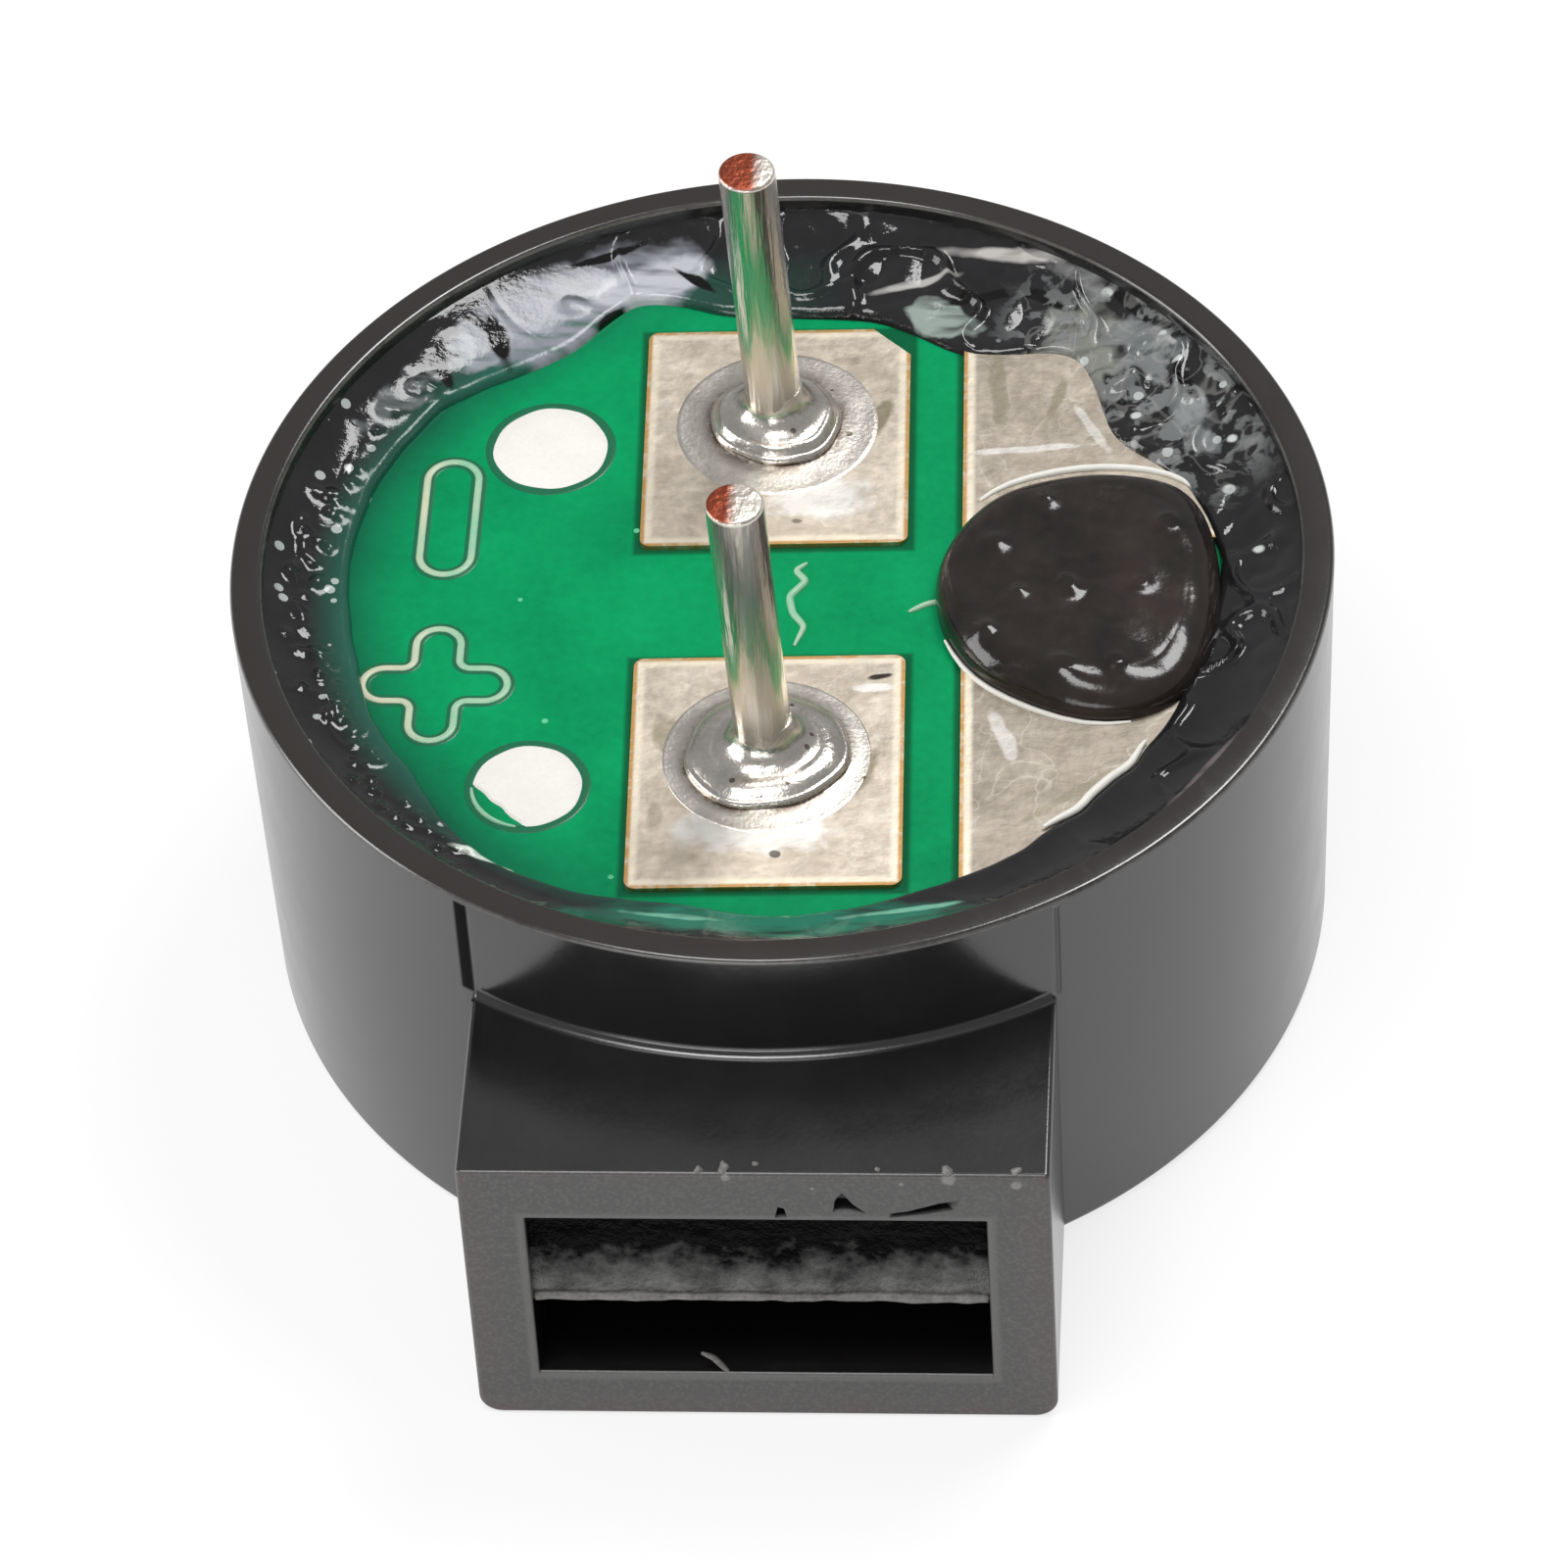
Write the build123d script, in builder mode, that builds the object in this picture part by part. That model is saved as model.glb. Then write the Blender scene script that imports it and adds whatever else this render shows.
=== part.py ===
from build123d import *
from math import cos, radians, sin
import os

# A side-sounding buzzer for a circuit board, in millimetres, shown with its pins up.
# The origin is on the case's axis, in the grained sound face that the buzzer lies on.
# +Z runs from that face to the open, sealed end with the pins, and the spout points to -Y.

# Case: a one-piece moulded cup with a spout on its side
case_radius = 6.0           # at the open rim
case_height = 5.4
case_draft = 0.1            # how much smaller the radius is at the sound face
face_wall = 0.68            # the closed sound face
face_edge_radius = 0.12
rim_wall = 0.35
rim_edge_radius = 0.06

# Spout, its mouth and the duct behind it
spout_width = 6.2
spout_height = 3.93
spout_reach = 7.65          # from the case's axis to the spout's end
spout_side_wall = 0.685
spout_roof = 0.74
spout_corner_radius = 0.25  # along the two edges next to the sound face
spout_edge_radius = 0.06
spout_root_radius = 0.12    # where the spout's top runs into the case
mouth_depth = 0.22          # from the spout's end to the top of the baffle
baffle_lean = 0.09          # how much nearer to that end the baffle's lower edge stands
mouth_edge_radius = 0.05
duct_height = 1.15          # under the baffle, into the chamber

# Sound chamber, diaphragm and the ring that holds it
chamber_radius = 4.7
chamber_depth = 1.6
diaphragm_radius = 5.2
diaphragm_thickness = 0.08
diaphragm_play = 0.1
armature_radius = 1.9
armature_thickness = 0.25
armature_chamfer = 0.06
support_wall = 0.7
support_play = 0.05

# Magnet system under the circuit board
yoke_radius = 4.1
yoke_thickness = 0.4
yoke_corner_radius = 0.08
magnet_wall = 1.35
magnet_air_gap = 0.32       # between the magnet and the diaphragm
core_radius = 0.9
core_air_gap = 0.15         # between the pole and the diaphragm
core_tenon_radius = 0.6
yoke_pin_clearance = 0.2    # keeps the iron from joining the two pins
coil_play = 0.05
coil_wall = 1.45
coil_air_gap = 0.4
coil_corner_radius = 0.15

# Circuit board
board_drop = 0.6            # its top below the rim
board_thickness = 0.8
board_play = 0.2
board_off_centre = 0.6      # share of that play taken up towards -X
board_turn = 1.5            # degrees about Z
lead_hole_radius = 0.3
lead_hole_x = 2.2

# Tinned lands on the board
land_thickness = 0.06
land_corner_radius = 0.12
pin_land_width = 2.94
pin_land_depth = 3.38
land_gap = 1.72             # between the front and the rear lands
land_gap_y = -0.2
rear_land_chamfer = 0.42    # the key corner that marks the rear land
mask_strip = 0.6            # between the pin lands and the wire lands
wire_land_margin = 0.35     # from the board's edge

# Pins and the joints that hold them
pin_radius = 0.31
pin_pitch = 5.08
pin_reach = 3.88            # above the board
pin_tip_chamfer = 0.05
front_collar_radius = 0.87
rear_collar_radius = 0.72
collar_side_lean = 0.06
collar_side_height = 0.13
collar_shoulder = 0.24      # how far the shoulder stands off the pin
collar_shoulder_height = 0.22
collar_climb = 0.62         # up the pin
collar_flare = (-0.1, 1)    # the direction in which the solder runs out on the pin
puddle_radius = 1.12
puddle_height = 0.05

# Coil leads, their joints and the drop of glue over them
lead_radius = 0.04
lead_spread = 0.12          # each lead beside the middle of its hole
lead_rise = 0.14            # above the board where a lead runs flat
lead_bend_radius = 0.1
wire_joint_x = 2.75
wire_joint_inset = 0.32     # from the land's inner edge
wire_joint_radius = 0.3
wire_joint_height = 0.24
glue_height = 0.5
glue_crown_radius = 0.42
glue_edge = [  # points (x, y) on the board that its outline runs through
    (1.79, -0.05), (2.04, 0.70), (2.60, 1.26), (3.60, 1.49), (4.50, 1.24), (4.86, 0.30), (4.80, -1.05),
    (4.31, -1.91), (3.40, -2.09), (2.40, -1.58), (1.92, -0.85),
]

# Sealing compound: a ring on the board's edge that climbs the wall
seal_edge_height = 0.12
seal_wall_height = 0.42
seal_inmost = 3.9           # no part of its edge comes nearer to the case's axis
seal_creep = (1, 0.1)       # the direction of its surface over the board's edge
seal_climb = (0.5, 1)       # and where it meets the wall
seal_edge = [  # angle in degrees from +X, and how far the bare board reaches there
    (0, 4.74), (18, 4.66), (33, 4.26), (49, 4.72), (62, 4.16), (80, 4.30), (99, 4.36), (112, 4.86),
    (126, 4.50), (145, 4.82), (170, 4.82), (198, 4.72), (216, 4.74), (235, 5.02), (258, 4.80),
    (280, 4.84), (305, 4.72), (332, 4.66),
]

# Sizes that follow from those above
face_radius = case_radius - case_draft
bore_radius = case_radius - rim_wall
seat_z = face_wall + chamber_depth
diaphragm_top = seat_z + diaphragm_thickness
pocket_radius = diaphragm_radius + diaphragm_play
board_top = case_height - board_drop
board_bottom = board_top - board_thickness
board_radius = bore_radius - board_play
board_x = -board_off_centre * board_play
yoke_bottom = board_bottom - yoke_thickness
mouth_width = spout_width - 2 * spout_side_wall
mouth_height = spout_height - spout_roof - face_wall
land_top = board_top + land_thickness
front_land_y = land_gap_y - (land_gap + pin_land_depth) / 2
rear_land_y = land_gap_y + (land_gap + pin_land_depth) / 2
wire_land_x = pin_land_width / 2 + mask_strip


def on_board(z):
    """The plane at height z that is turned and shifted as the board is in its pocket."""
    across = (cos(radians(board_turn)), sin(radians(board_turn)), 0)
    return Plane(origin=(board_x, 0, z), x_dir=across, z_dir=(0, 0, 1))


def upright_on_board(x, y, z):
    """The upright plane through a point of the board, for profiles turned about that point."""
    middle = on_board(z).from_local_coords(Vector(x, y, 0))
    return Plane(origin=middle, x_dir=(1, 0, 0), z_dir=(0, -1, 0))


# A cove that runs the spout's top into the round wall, trimmed to the flat of that top
with BuildPart() as spout_cove:
    wall_radius = face_radius + case_draft * spout_height / case_height
    with BuildSketch(Plane.XZ):
        with BuildLine():
            back = Line((wall_radius - spout_root_radius, spout_height),
                        (wall_radius - spout_root_radius, spout_height + spout_root_radius))
            top = Line(back @ 1, (wall_radius, spout_height + spout_root_radius))
            hollow = RadiusArc(top @ 1, (wall_radius + spout_root_radius, spout_height), spout_root_radius)
            Line(hollow @ 1, back @ 0)
        make_face()
    revolve(axis=Axis.Z)
    with BuildSketch(Plane.XY.offset(spout_height)):
        Rectangle(spout_width - 2 * spout_edge_radius, spout_reach, align=(Align.CENTER, Align.MAX))
    extrude(amount=spout_root_radius, mode=Mode.INTERSECT)

# Case
with BuildPart() as case:
    with BuildSketch(Plane.XZ):
        with BuildLine():
            Polyline((0, 0), (face_radius, 0), (case_radius, case_height), (0, case_height), close=True)
        make_face()
    revolve(axis=Axis.Z)
    fillet(case.edges().filter_by(GeomType.CIRCLE).sort_by(Axis.Z)[0], face_edge_radius)
    with BuildSketch(Plane.XZ.offset(spout_reach)) as spout_end:
        with Locations((0, spout_height / 2)):
            Rectangle(spout_width, spout_height)
        fillet(spout_end.vertices().group_by(Axis.Y)[0], spout_corner_radius)
        fillet(spout_end.vertices().group_by(Axis.Y)[-1], spout_edge_radius)
    extrude(amount=-spout_reach)
    add(spout_cove.part)
    spout_outline = case.faces().sort_by(Axis.Y)[0].edges()
    fillet(spout_outline, spout_edge_radius)

    # The stepped bore: chamber, diaphragm pocket, then the board's pocket up to the rim
    with BuildSketch(Plane.XZ):
        with BuildLine():
            Polyline(
                (0, face_wall), (chamber_radius, face_wall), (chamber_radius, seat_z),
                (pocket_radius, seat_z), (pocket_radius, board_bottom), (bore_radius, board_bottom),
                (bore_radius, case_height), (0, case_height), close=True,
            )
        make_face()
    revolve(axis=Axis.Z, mode=Mode.SUBTRACT)
    fillet(case.faces().sort_by(Axis.Z)[-1].edges(), rim_edge_radius)

    # The mouth stops at a leaning baffle, and the duct runs on below it into the chamber
    with BuildSketch(Plane.YZ):
        with BuildLine():
            Polyline(
                (-spout_reach, face_wall), (0, face_wall), (0, face_wall + duct_height),
                (mouth_depth - baffle_lean - spout_reach, face_wall + duct_height),
                (mouth_depth - spout_reach, face_wall + mouth_height),
                (-spout_reach, face_wall + mouth_height), close=True,
            )
        make_face()
    extrude(amount=mouth_width / 2, both=True, mode=Mode.SUBTRACT)
    fillet(case.faces().sort_by(Axis.Y)[0].inner_wires()[0].edges(), mouth_edge_radius)

# Diaphragm, its armature and the ring that holds it down
with BuildPart() as diaphragm:
    with BuildSketch(Plane.XY.offset(seat_z)):
        Circle(diaphragm_radius)
    extrude(amount=diaphragm_thickness)

with BuildPart() as armature_disc:
    with BuildSketch(Plane.XY.offset(seat_z)):
        Circle(armature_radius)
    extrude(amount=-armature_thickness)
    chamfer(armature_disc.edges().sort_by(Axis.Z)[0], armature_chamfer)

with BuildPart() as support_ring:
    with BuildSketch(Plane.XY.offset(diaphragm_top)):
        Circle(pocket_radius - support_play)
        Circle(pocket_radius - support_play - support_wall, mode=Mode.SUBTRACT)
    extrude(amount=board_bottom - diaphragm_top)

# Magnet system, hung under the board
pin_places = [(0, -pin_pitch / 2), (0, pin_pitch / 2)]
with BuildPart() as yoke_plate:
    with BuildSketch(on_board(yoke_bottom)):
        Circle(yoke_radius)
        Circle(core_tenon_radius, mode=Mode.SUBTRACT)
        with Locations(pin_places):
            Circle(pin_radius + yoke_pin_clearance, mode=Mode.SUBTRACT)
        with Locations((lead_hole_x, 0)):
            Circle(lead_hole_radius, mode=Mode.SUBTRACT)
    extrude(amount=yoke_thickness)
    fillet(yoke_plate.faces().sort_by(Axis.Z)[0].outer_wire().edges(), yoke_corner_radius)

with BuildPart() as ring_magnet:
    magnet_bottom = diaphragm_top + magnet_air_gap
    with BuildSketch(on_board(magnet_bottom)):
        Circle(yoke_radius)
        Circle(yoke_radius - magnet_wall, mode=Mode.SUBTRACT)
    extrude(amount=yoke_bottom - magnet_bottom)

with BuildPart() as pole_core:
    core_bottom = diaphragm_top + core_air_gap
    with BuildSketch(on_board(core_bottom)):
        Circle(core_radius)
    extrude(amount=yoke_bottom - core_bottom)
    with BuildSketch(on_board(yoke_bottom)):
        Circle(core_tenon_radius)
    extrude(amount=yoke_thickness)

with BuildPart() as coil:
    coil_bottom = diaphragm_top + coil_air_gap
    with BuildSketch(on_board(coil_bottom)):
        Circle(core_radius + coil_play + coil_wall)
        Circle(core_radius + coil_play, mode=Mode.SUBTRACT)
    extrude(amount=yoke_bottom - coil_bottom)
    fillet(coil.edges().group_by(Axis.Z)[0], coil_corner_radius)

# Circuit board
with BuildPart() as circuit_board:
    with BuildSketch(on_board(board_bottom)):
        Circle(board_radius)
        with Locations(pin_places):
            Circle(pin_radius, mode=Mode.SUBTRACT)
        with Locations((lead_hole_x, 0)):
            Circle(lead_hole_radius, mode=Mode.SUBTRACT)
    extrude(amount=board_thickness)


# Lands: two under the pins, and two beside them that end short of the board's round edge
def pin_land(middle_y, key_corner):
    with BuildPart() as land:
        with BuildSketch(on_board(board_top)) as outline:
            with Locations((0, middle_y)):
                Rectangle(pin_land_width, pin_land_depth)
            corners = outline.vertices().sort_by_distance((pin_land_width, middle_y + pin_land_depth, 0))
            if key_corner:
                chamfer(corners[0], rear_land_chamfer)
                corners = corners[1:]
            fillet(corners, land_corner_radius)
            with Locations(pin_places):
                Circle(pin_radius, mode=Mode.SUBTRACT)
        extrude(amount=land_thickness)
    return land


def wire_land(middle_y):
    with BuildPart() as land:
        with BuildSketch(on_board(board_top)):
            with Locations((wire_land_x, middle_y)):
                Rectangle(board_radius, pin_land_depth, align=(Align.MIN, Align.CENTER))
            Circle(board_radius - wire_land_margin, mode=Mode.INTERSECT)
            with Locations((lead_hole_x, 0)):
                Circle(lead_hole_radius, mode=Mode.SUBTRACT)
        extrude(amount=land_thickness)
    return land


front_pin_land = pin_land(front_land_y, key_corner=False)
rear_pin_land = pin_land(rear_land_y, key_corner=True)
front_wire_land = wire_land(front_land_y)
rear_wire_land = wire_land(rear_land_y)


# Pins, cut from tinned wire, flush with the board's underside
def pin(place):
    with BuildPart() as wire:
        with BuildSketch(on_board(board_bottom)):
            with Locations(place):
                Circle(pin_radius)
        extrude(amount=board_thickness + pin_reach)
        chamfer(wire.edges().sort_by(Axis.Z)[-1], pin_tip_chamfer)
    return wire


# A solder joint: a flat puddle, a rounded collar on it, and a hollow flare up the pin
def solder_joint(place, collar_radius):
    axis_plane = upright_on_board(place[0], place[1], land_top)
    with BuildPart() as joint:
        with BuildSketch(axis_plane):
            with BuildLine():
                base = Line((pin_radius, 0), (puddle_radius, 0))
                puddle = RadiusArc(base @ 1, (collar_radius, puddle_height), -2 * puddle_radius)
                bulge = Spline(
                    puddle @ 1, (collar_radius - collar_side_lean, collar_side_height),
                    (pin_radius + collar_shoulder, collar_shoulder_height), (pin_radius, collar_climb),
                    tangents=((0, 1), collar_flare),
                )
                Line(bulge @ 1, base @ 0)
            make_face()
        revolve(axis=Axis(axis_plane.origin, (0, 0, 1)))
    return joint


front_pin = pin(pin_places[0])
rear_pin = pin(pin_places[1])
front_solder_joint = solder_joint(pin_places[0], front_collar_radius)
rear_solder_joint = solder_joint(pin_places[1], rear_collar_radius)


# Coil leads: up through the yoke and the board, then flat out into a round cap of solder on each wire land
def wire_joint(place):
    ball_radius = (wire_joint_radius ** 2 + wire_joint_height ** 2) / (2 * wire_joint_height)
    ball_middle = on_board(land_top + wire_joint_height - ball_radius).from_local_coords(Vector(place))
    with BuildPart() as joint:
        with Locations(ball_middle):
            Sphere(ball_radius)
        split(bisect_by=Plane.XY.offset(land_top), keep=Keep.TOP)
    return joint


def coil_lead(side, place):
    run_z = board_top + lead_rise
    foot = on_board(yoke_bottom).from_local_coords(Vector(lead_hole_x, side * lead_spread))
    bend = on_board(run_z).from_local_coords(Vector(lead_hole_x, side * lead_spread))
    end = on_board(run_z).from_local_coords(Vector(place))
    with BuildPart() as lead:
        with BuildLine():
            route = FilletPolyline(foot, bend, end, radius=lead_bend_radius)
        with BuildSketch(Plane(origin=route @ 0, z_dir=route % 0)):
            Circle(lead_radius)
        sweep()
    return lead


front_joint_place = (wire_joint_x, land_gap_y - land_gap / 2 - wire_joint_inset)
rear_joint_place = (wire_joint_x, land_gap_y + land_gap / 2 + wire_joint_inset)
front_coil_lead = coil_lead(-1, front_joint_place)
rear_coil_lead = coil_lead(1, rear_joint_place)
front_wire_joint = wire_joint(front_joint_place)
rear_wire_joint = wire_joint(rear_joint_place)

# The drop of glue that covers the leads, moulded round all that it covers
with BuildPart() as lead_cover:
    with BuildSketch(on_board(board_top)):
        with BuildLine():
            Spline(glue_edge, periodic=True)
        make_face()
    extrude(amount=glue_height)
    fillet(lead_cover.edges().sort_by(Axis.Z)[-1], glue_crown_radius)
    for covered in (front_wire_land, rear_wire_land, front_wire_joint, rear_wire_joint,
                    front_coil_lead, rear_coil_lead):
        add(covered.part, mode=Mode.SUBTRACT)

with front_wire_joint:
    add(front_coil_lead.part, mode=Mode.SUBTRACT)
with rear_wire_joint:
    add(rear_coil_lead.part, mode=Mode.SUBTRACT)

# Sealing compound: it laps over the board's edge, climbs the wall, and fills the gap round the board
with BuildPart() as sealing_compound:
    with BuildSketch(Plane.XY.offset(board_top)):
        Circle(bore_radius)
        with BuildLine():
            Spline([(reach * cos(radians(angle)), reach * sin(radians(angle))) for angle, reach in seal_edge],
                   periodic=True)
        make_face(mode=Mode.SUBTRACT)
    extrude(amount=board_drop)
    with BuildSketch(Plane.XZ):
        with BuildLine():
            lip = Line((seal_inmost, board_top), (seal_inmost, board_top + seal_edge_height))
            wall_top = (bore_radius, board_top + seal_wall_height)
            hollow = Spline(lip @ 1, wall_top, tangents=(seal_creep, seal_climb))
            Polyline(hollow @ 1, (bore_radius, board_top), lip @ 0)
        make_face()
    revolve(axis=Axis.Z, mode=Mode.INTERSECT)
    with BuildSketch(Plane.XY.offset(board_bottom)):
        Circle(bore_radius)
        with Locations((board_x, 0)):
            Circle(board_radius, mode=Mode.SUBTRACT)
    extrude(amount=board_thickness)
    for bedded in (lead_cover, front_wire_land, rear_wire_land, rear_pin_land):
        add(bedded.part, mode=Mode.SUBTRACT)

pieces = {
    "case": case, "diaphragm": diaphragm, "armature_disc": armature_disc, "support_ring": support_ring,
    "yoke_plate": yoke_plate, "ring_magnet": ring_magnet, "pole_core": pole_core, "coil": coil,
    "circuit_board": circuit_board, "front_pin_land": front_pin_land, "rear_pin_land": rear_pin_land,
    "front_wire_land": front_wire_land, "rear_wire_land": rear_wire_land, "front_pin": front_pin,
    "rear_pin": rear_pin, "front_solder_joint": front_solder_joint, "rear_solder_joint": rear_solder_joint,
    "front_coil_lead": front_coil_lead, "rear_coil_lead": rear_coil_lead,
    "front_wire_joint": front_wire_joint, "rear_wire_joint": rear_wire_joint,
    "lead_cover": lead_cover, "sealing_compound": sealing_compound,
}
os.makedirs("parts", exist_ok=True)
for name, piece in pieces.items():
    piece.part.label = name
    export_step(piece.part, f"parts/{name}.step")
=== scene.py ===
from math import cos, pi, radians, sin
import bpy
import numpy as np
from mathutils import Matrix, Vector


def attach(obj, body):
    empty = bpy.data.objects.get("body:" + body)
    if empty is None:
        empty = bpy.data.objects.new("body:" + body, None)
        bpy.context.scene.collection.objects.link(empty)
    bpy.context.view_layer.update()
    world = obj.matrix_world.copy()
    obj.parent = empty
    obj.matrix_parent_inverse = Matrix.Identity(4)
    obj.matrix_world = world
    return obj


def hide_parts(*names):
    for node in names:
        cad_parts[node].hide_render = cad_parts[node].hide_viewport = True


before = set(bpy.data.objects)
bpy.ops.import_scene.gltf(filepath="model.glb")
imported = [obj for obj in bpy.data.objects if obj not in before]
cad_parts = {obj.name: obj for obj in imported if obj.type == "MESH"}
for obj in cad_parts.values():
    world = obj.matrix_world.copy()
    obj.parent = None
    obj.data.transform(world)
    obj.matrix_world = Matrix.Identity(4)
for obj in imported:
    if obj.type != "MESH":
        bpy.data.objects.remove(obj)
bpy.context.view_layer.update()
mm = 0.001


# Small helpers for meshes. A shape is worked out in millimetres and stored in metres.

def newPiece(name, shape, material=None, smoothAngle=32, ride=True):
    points, faces = shape
    mesh = bpy.data.meshes.new(name)
    mesh.from_pydata((np.asarray(points, float) * mm).tolist(), [], faces)
    mesh.validate()
    mesh.shade_smooth()
    mesh.set_sharp_from_angle(angle=radians(smoothAngle))
    piece = bpy.data.objects.new(name, mesh)
    bpy.context.scene.collection.objects.link(piece)
    if material:
        mesh.materials.append(material)
    if ride:
        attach(piece, "root")
    return piece


def stacked(*values):
    # Arrays or single numbers set side by side, as the coordinates of points
    return np.stack(np.broadcast_arrays(*values), axis=-1)


def gridFaces(rows, columns, wrapRows=False):
    # Quads between neighbouring points of a grid stored row by row; each row is a closed ring
    r = np.arange(rows if wrapRows else rows - 1)[:, None]
    c = np.arange(columns)[None, :]
    rNext, cNext = (r + 1) % rows, (c + 1) % columns
    corners = [r * columns + c, r * columns + cNext, rNext * columns + cNext, rNext * columns + c]
    return stacked(*corners).reshape(-1, 4)


def joined(rings, poles=None, turned=False):
    # Rings of points joined by quads. The ends are closed by fans to two poles, or by one face each.
    rows, count = rings.shape[:2]
    points = rings.reshape(-1, 3)
    first = np.arange(count)
    last = first + (rows - 1) * count
    parts = [gridFaces(rows, count)]
    if poles is None:
        parts += [first[None, ::-1], last[None]]
    else:
        points = np.vstack([points, poles])
        pole = np.full(count, rows * count)
        parts.append(stacked(pole, np.roll(first, -1), first))
        parts.append(stacked(pole + 1, last, np.roll(last, -1)))
    order = -1 if turned else 1
    return points, [face for part in parts for face in part[:, ::order].tolist()]


def revolved(profile, turns=256):
    # A profile of (radius, height) turned about Z: x = r cos t, y = r sin t. It runs from the bottom out,
    # up and back in, and its first and last points are poles on the axis, so the surface is closed.
    profile = np.asarray(profile, float)
    t = np.linspace(0, 2 * pi, turns, endpoint=False)
    r, z = profile[1:-1, :1], profile[1:-1, 1:]
    rings = stacked(r * np.cos(t), r * np.sin(t), z)
    return joined(rings, [(0, 0, profile[0, 1]), (0, 0, profile[-1, 1])])


def arcPoints(centre, radius, start, end, steps=8):
    # Points of an arc from one angle to another, in degrees
    angle = np.radians(np.linspace(start, end, steps + 1))
    return stacked(centre[0] + radius * np.cos(angle), centre[1] + radius * np.sin(angle))


def roundedSection(halfWidth, low, high, lowRadius, highRadius, inset=0.0):
    # A rectangle in (x, z) with rounded corners, moved in by inset, counter-clockwise seen from -Y
    w, a, b = halfWidth - inset, low + inset, high - inset
    p, q = max(lowRadius - inset, 0.004), max(highRadius - inset, 0.004)
    corners = ((w - p, a + p, p, -90), (w - q, b - q, q, 0), (q - w, b - q, q, 90), (p - w, a + p, p, 180))
    return np.vstack([arcPoints((x, z), r, turn, turn + 90) for x, z, r, turn in corners])


def prism(sections, depths):
    # Sections in (x, z) carried along Y from the first depth to the last, with both ends closed
    return joined(np.array([np.insert(section, 1, y, axis=1) for section, y in zip(sections, depths)]))


def sweptArc(section, angles):
    # A closed section of (radius, height) turned about Z through part of a circle, with both ends closed
    r, z = np.asarray(section, float).T
    t = angles[:, None]
    return joined(stacked(r * np.cos(t), r * np.sin(t), z), turned=True)


def closedCurve(corners, steps):
    # A smooth closed curve through the given points: between b and c it is a cubic in u = 0..1
    b = np.asarray(corners, float)[:, None]
    a, c, d = (np.roll(b, shift, axis=0) for shift in (1, -1, -2))
    u = np.linspace(0, 1, steps, endpoint=False)[None, :, None]
    bend, twist = 2 * a - 5 * b + 4 * c - d, 3 * b - a - 3 * c + d
    curve = 0.5 * (2 * b + (c - a) * u + bend * u ** 2 + twist * u ** 3)
    return curve.reshape(-1, b.shape[-1])


def unit(vectors):
    return vectors / np.linalg.norm(vectors, axis=1)[:, None]


def tube(path, radii, sides=10):
    # A round thread with pointed ends: at each point of the path, radius times (side cos t + over sin t)
    along = unit(np.gradient(path, axis=0))
    side = unit(np.cross(along, (0.0, 0.0, 1.0)))
    over = np.cross(side, along)
    t = np.linspace(0, 2 * pi, sides, endpoint=False)[:, None]
    circles = side[:, None] * np.cos(t) + over[:, None] * np.sin(t)
    return joined(path[:, None] + radii[:, None, None] * circles, [path[0], path[-1]], turned=True)


def threadAlong(name, corners, radius, material, steps=8):
    # An open thread through a few points, thickest in its middle
    corners = np.asarray(corners, float)
    count = len(corners)
    at = np.linspace(0, count - 1, (count - 1) * steps + 1)
    path = stacked(*[np.interp(at, np.arange(count), values) for values in corners.T])
    for softening in range(3):
        path[1:-1] = 0.25 * path[:-2] + 0.5 * path[1:-1] + 0.25 * path[2:]
    swell = radius * (0.25 + 0.75 * np.sin(np.linspace(0.05, pi - 0.05, len(path))) ** 0.5)
    newPiece(name, tube(path, swell), material, 80)


def ripple(x, y, seed, waves=24, low=1.0, high=6.0):
    # Gentle unevenness: a sum of sine waves in seeded directions, higher waves weaker, within about -1..1
    chance = np.random.default_rng(seed)
    turns = chance.uniform(0, 2 * pi, waves)
    shifts = chance.uniform(0, 2 * pi, waves)
    total = 0
    for turn, rate, shift in zip(turns, np.geomspace(low, high, waves), shifts):
        total = total + np.sin(rate * pi * (x * cos(turn) + y * sin(turn)) + shift) / rate ** 0.6
    return total / (0.35 * waves)


def combined(base, steps):
    # Carries out boolean steps of (operation, other piece), keeps the result as mesh and drops the tools
    for kind, other in steps:
        change = base.modifiers.new(kind, "BOOLEAN")
        change.operation, change.solver, change.object = kind, "EXACT", other
    bpy.context.view_layer.update()
    graph = bpy.context.evaluated_depsgraph_get()
    mesh = bpy.data.meshes.new_from_object(base.evaluated_get(graph))
    base.modifiers.clear()
    base.data = mesh
    for kind, other in steps:
        bpy.data.objects.remove(other)


def onBoard(x, y, z=0.0):
    # A point given on the circuit board, which is turned and shifted a little in its pocket
    turn = radians(board["turn"])
    x, y = np.asarray(x, float), np.asarray(y, float)
    across = board["shift"] + x * cos(turn) - y * sin(turn)
    return stacked(across, x * sin(turn) + y * cos(turn), z)


# Small helpers for materials. A socket knows its own node tree, so most of them need no tree.

def addNode(tree, kind, inputs=None, **settings):
    # Inputs are linked to a socket or set to a value; a colour may be three numbers
    made = tree.nodes.new(kind)
    for key, value in settings.items():
        setattr(made, key, value)
    for key, value in (inputs or {}).items():
        socket = made.inputs[key]
        if isinstance(value, bpy.types.NodeSocket):
            tree.links.new(value, socket)
        else:
            socket.default_value = (*value, 1.0) if socket.type == "RGBA" else value
    return made


def calc(operation, *values):
    # An operation carried on over sockets and numbers from the left
    tree = next(value.id_data for value in values if isinstance(value, bpy.types.NodeSocket))
    total = values[0]
    for value in values[1:] or [0.0]:
        total = addNode(tree, "ShaderNodeMath", {0: total, 1: value}, operation=operation).outputs[0]
    return total


def times(*values):
    return calc("MULTIPLY", *values)


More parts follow.
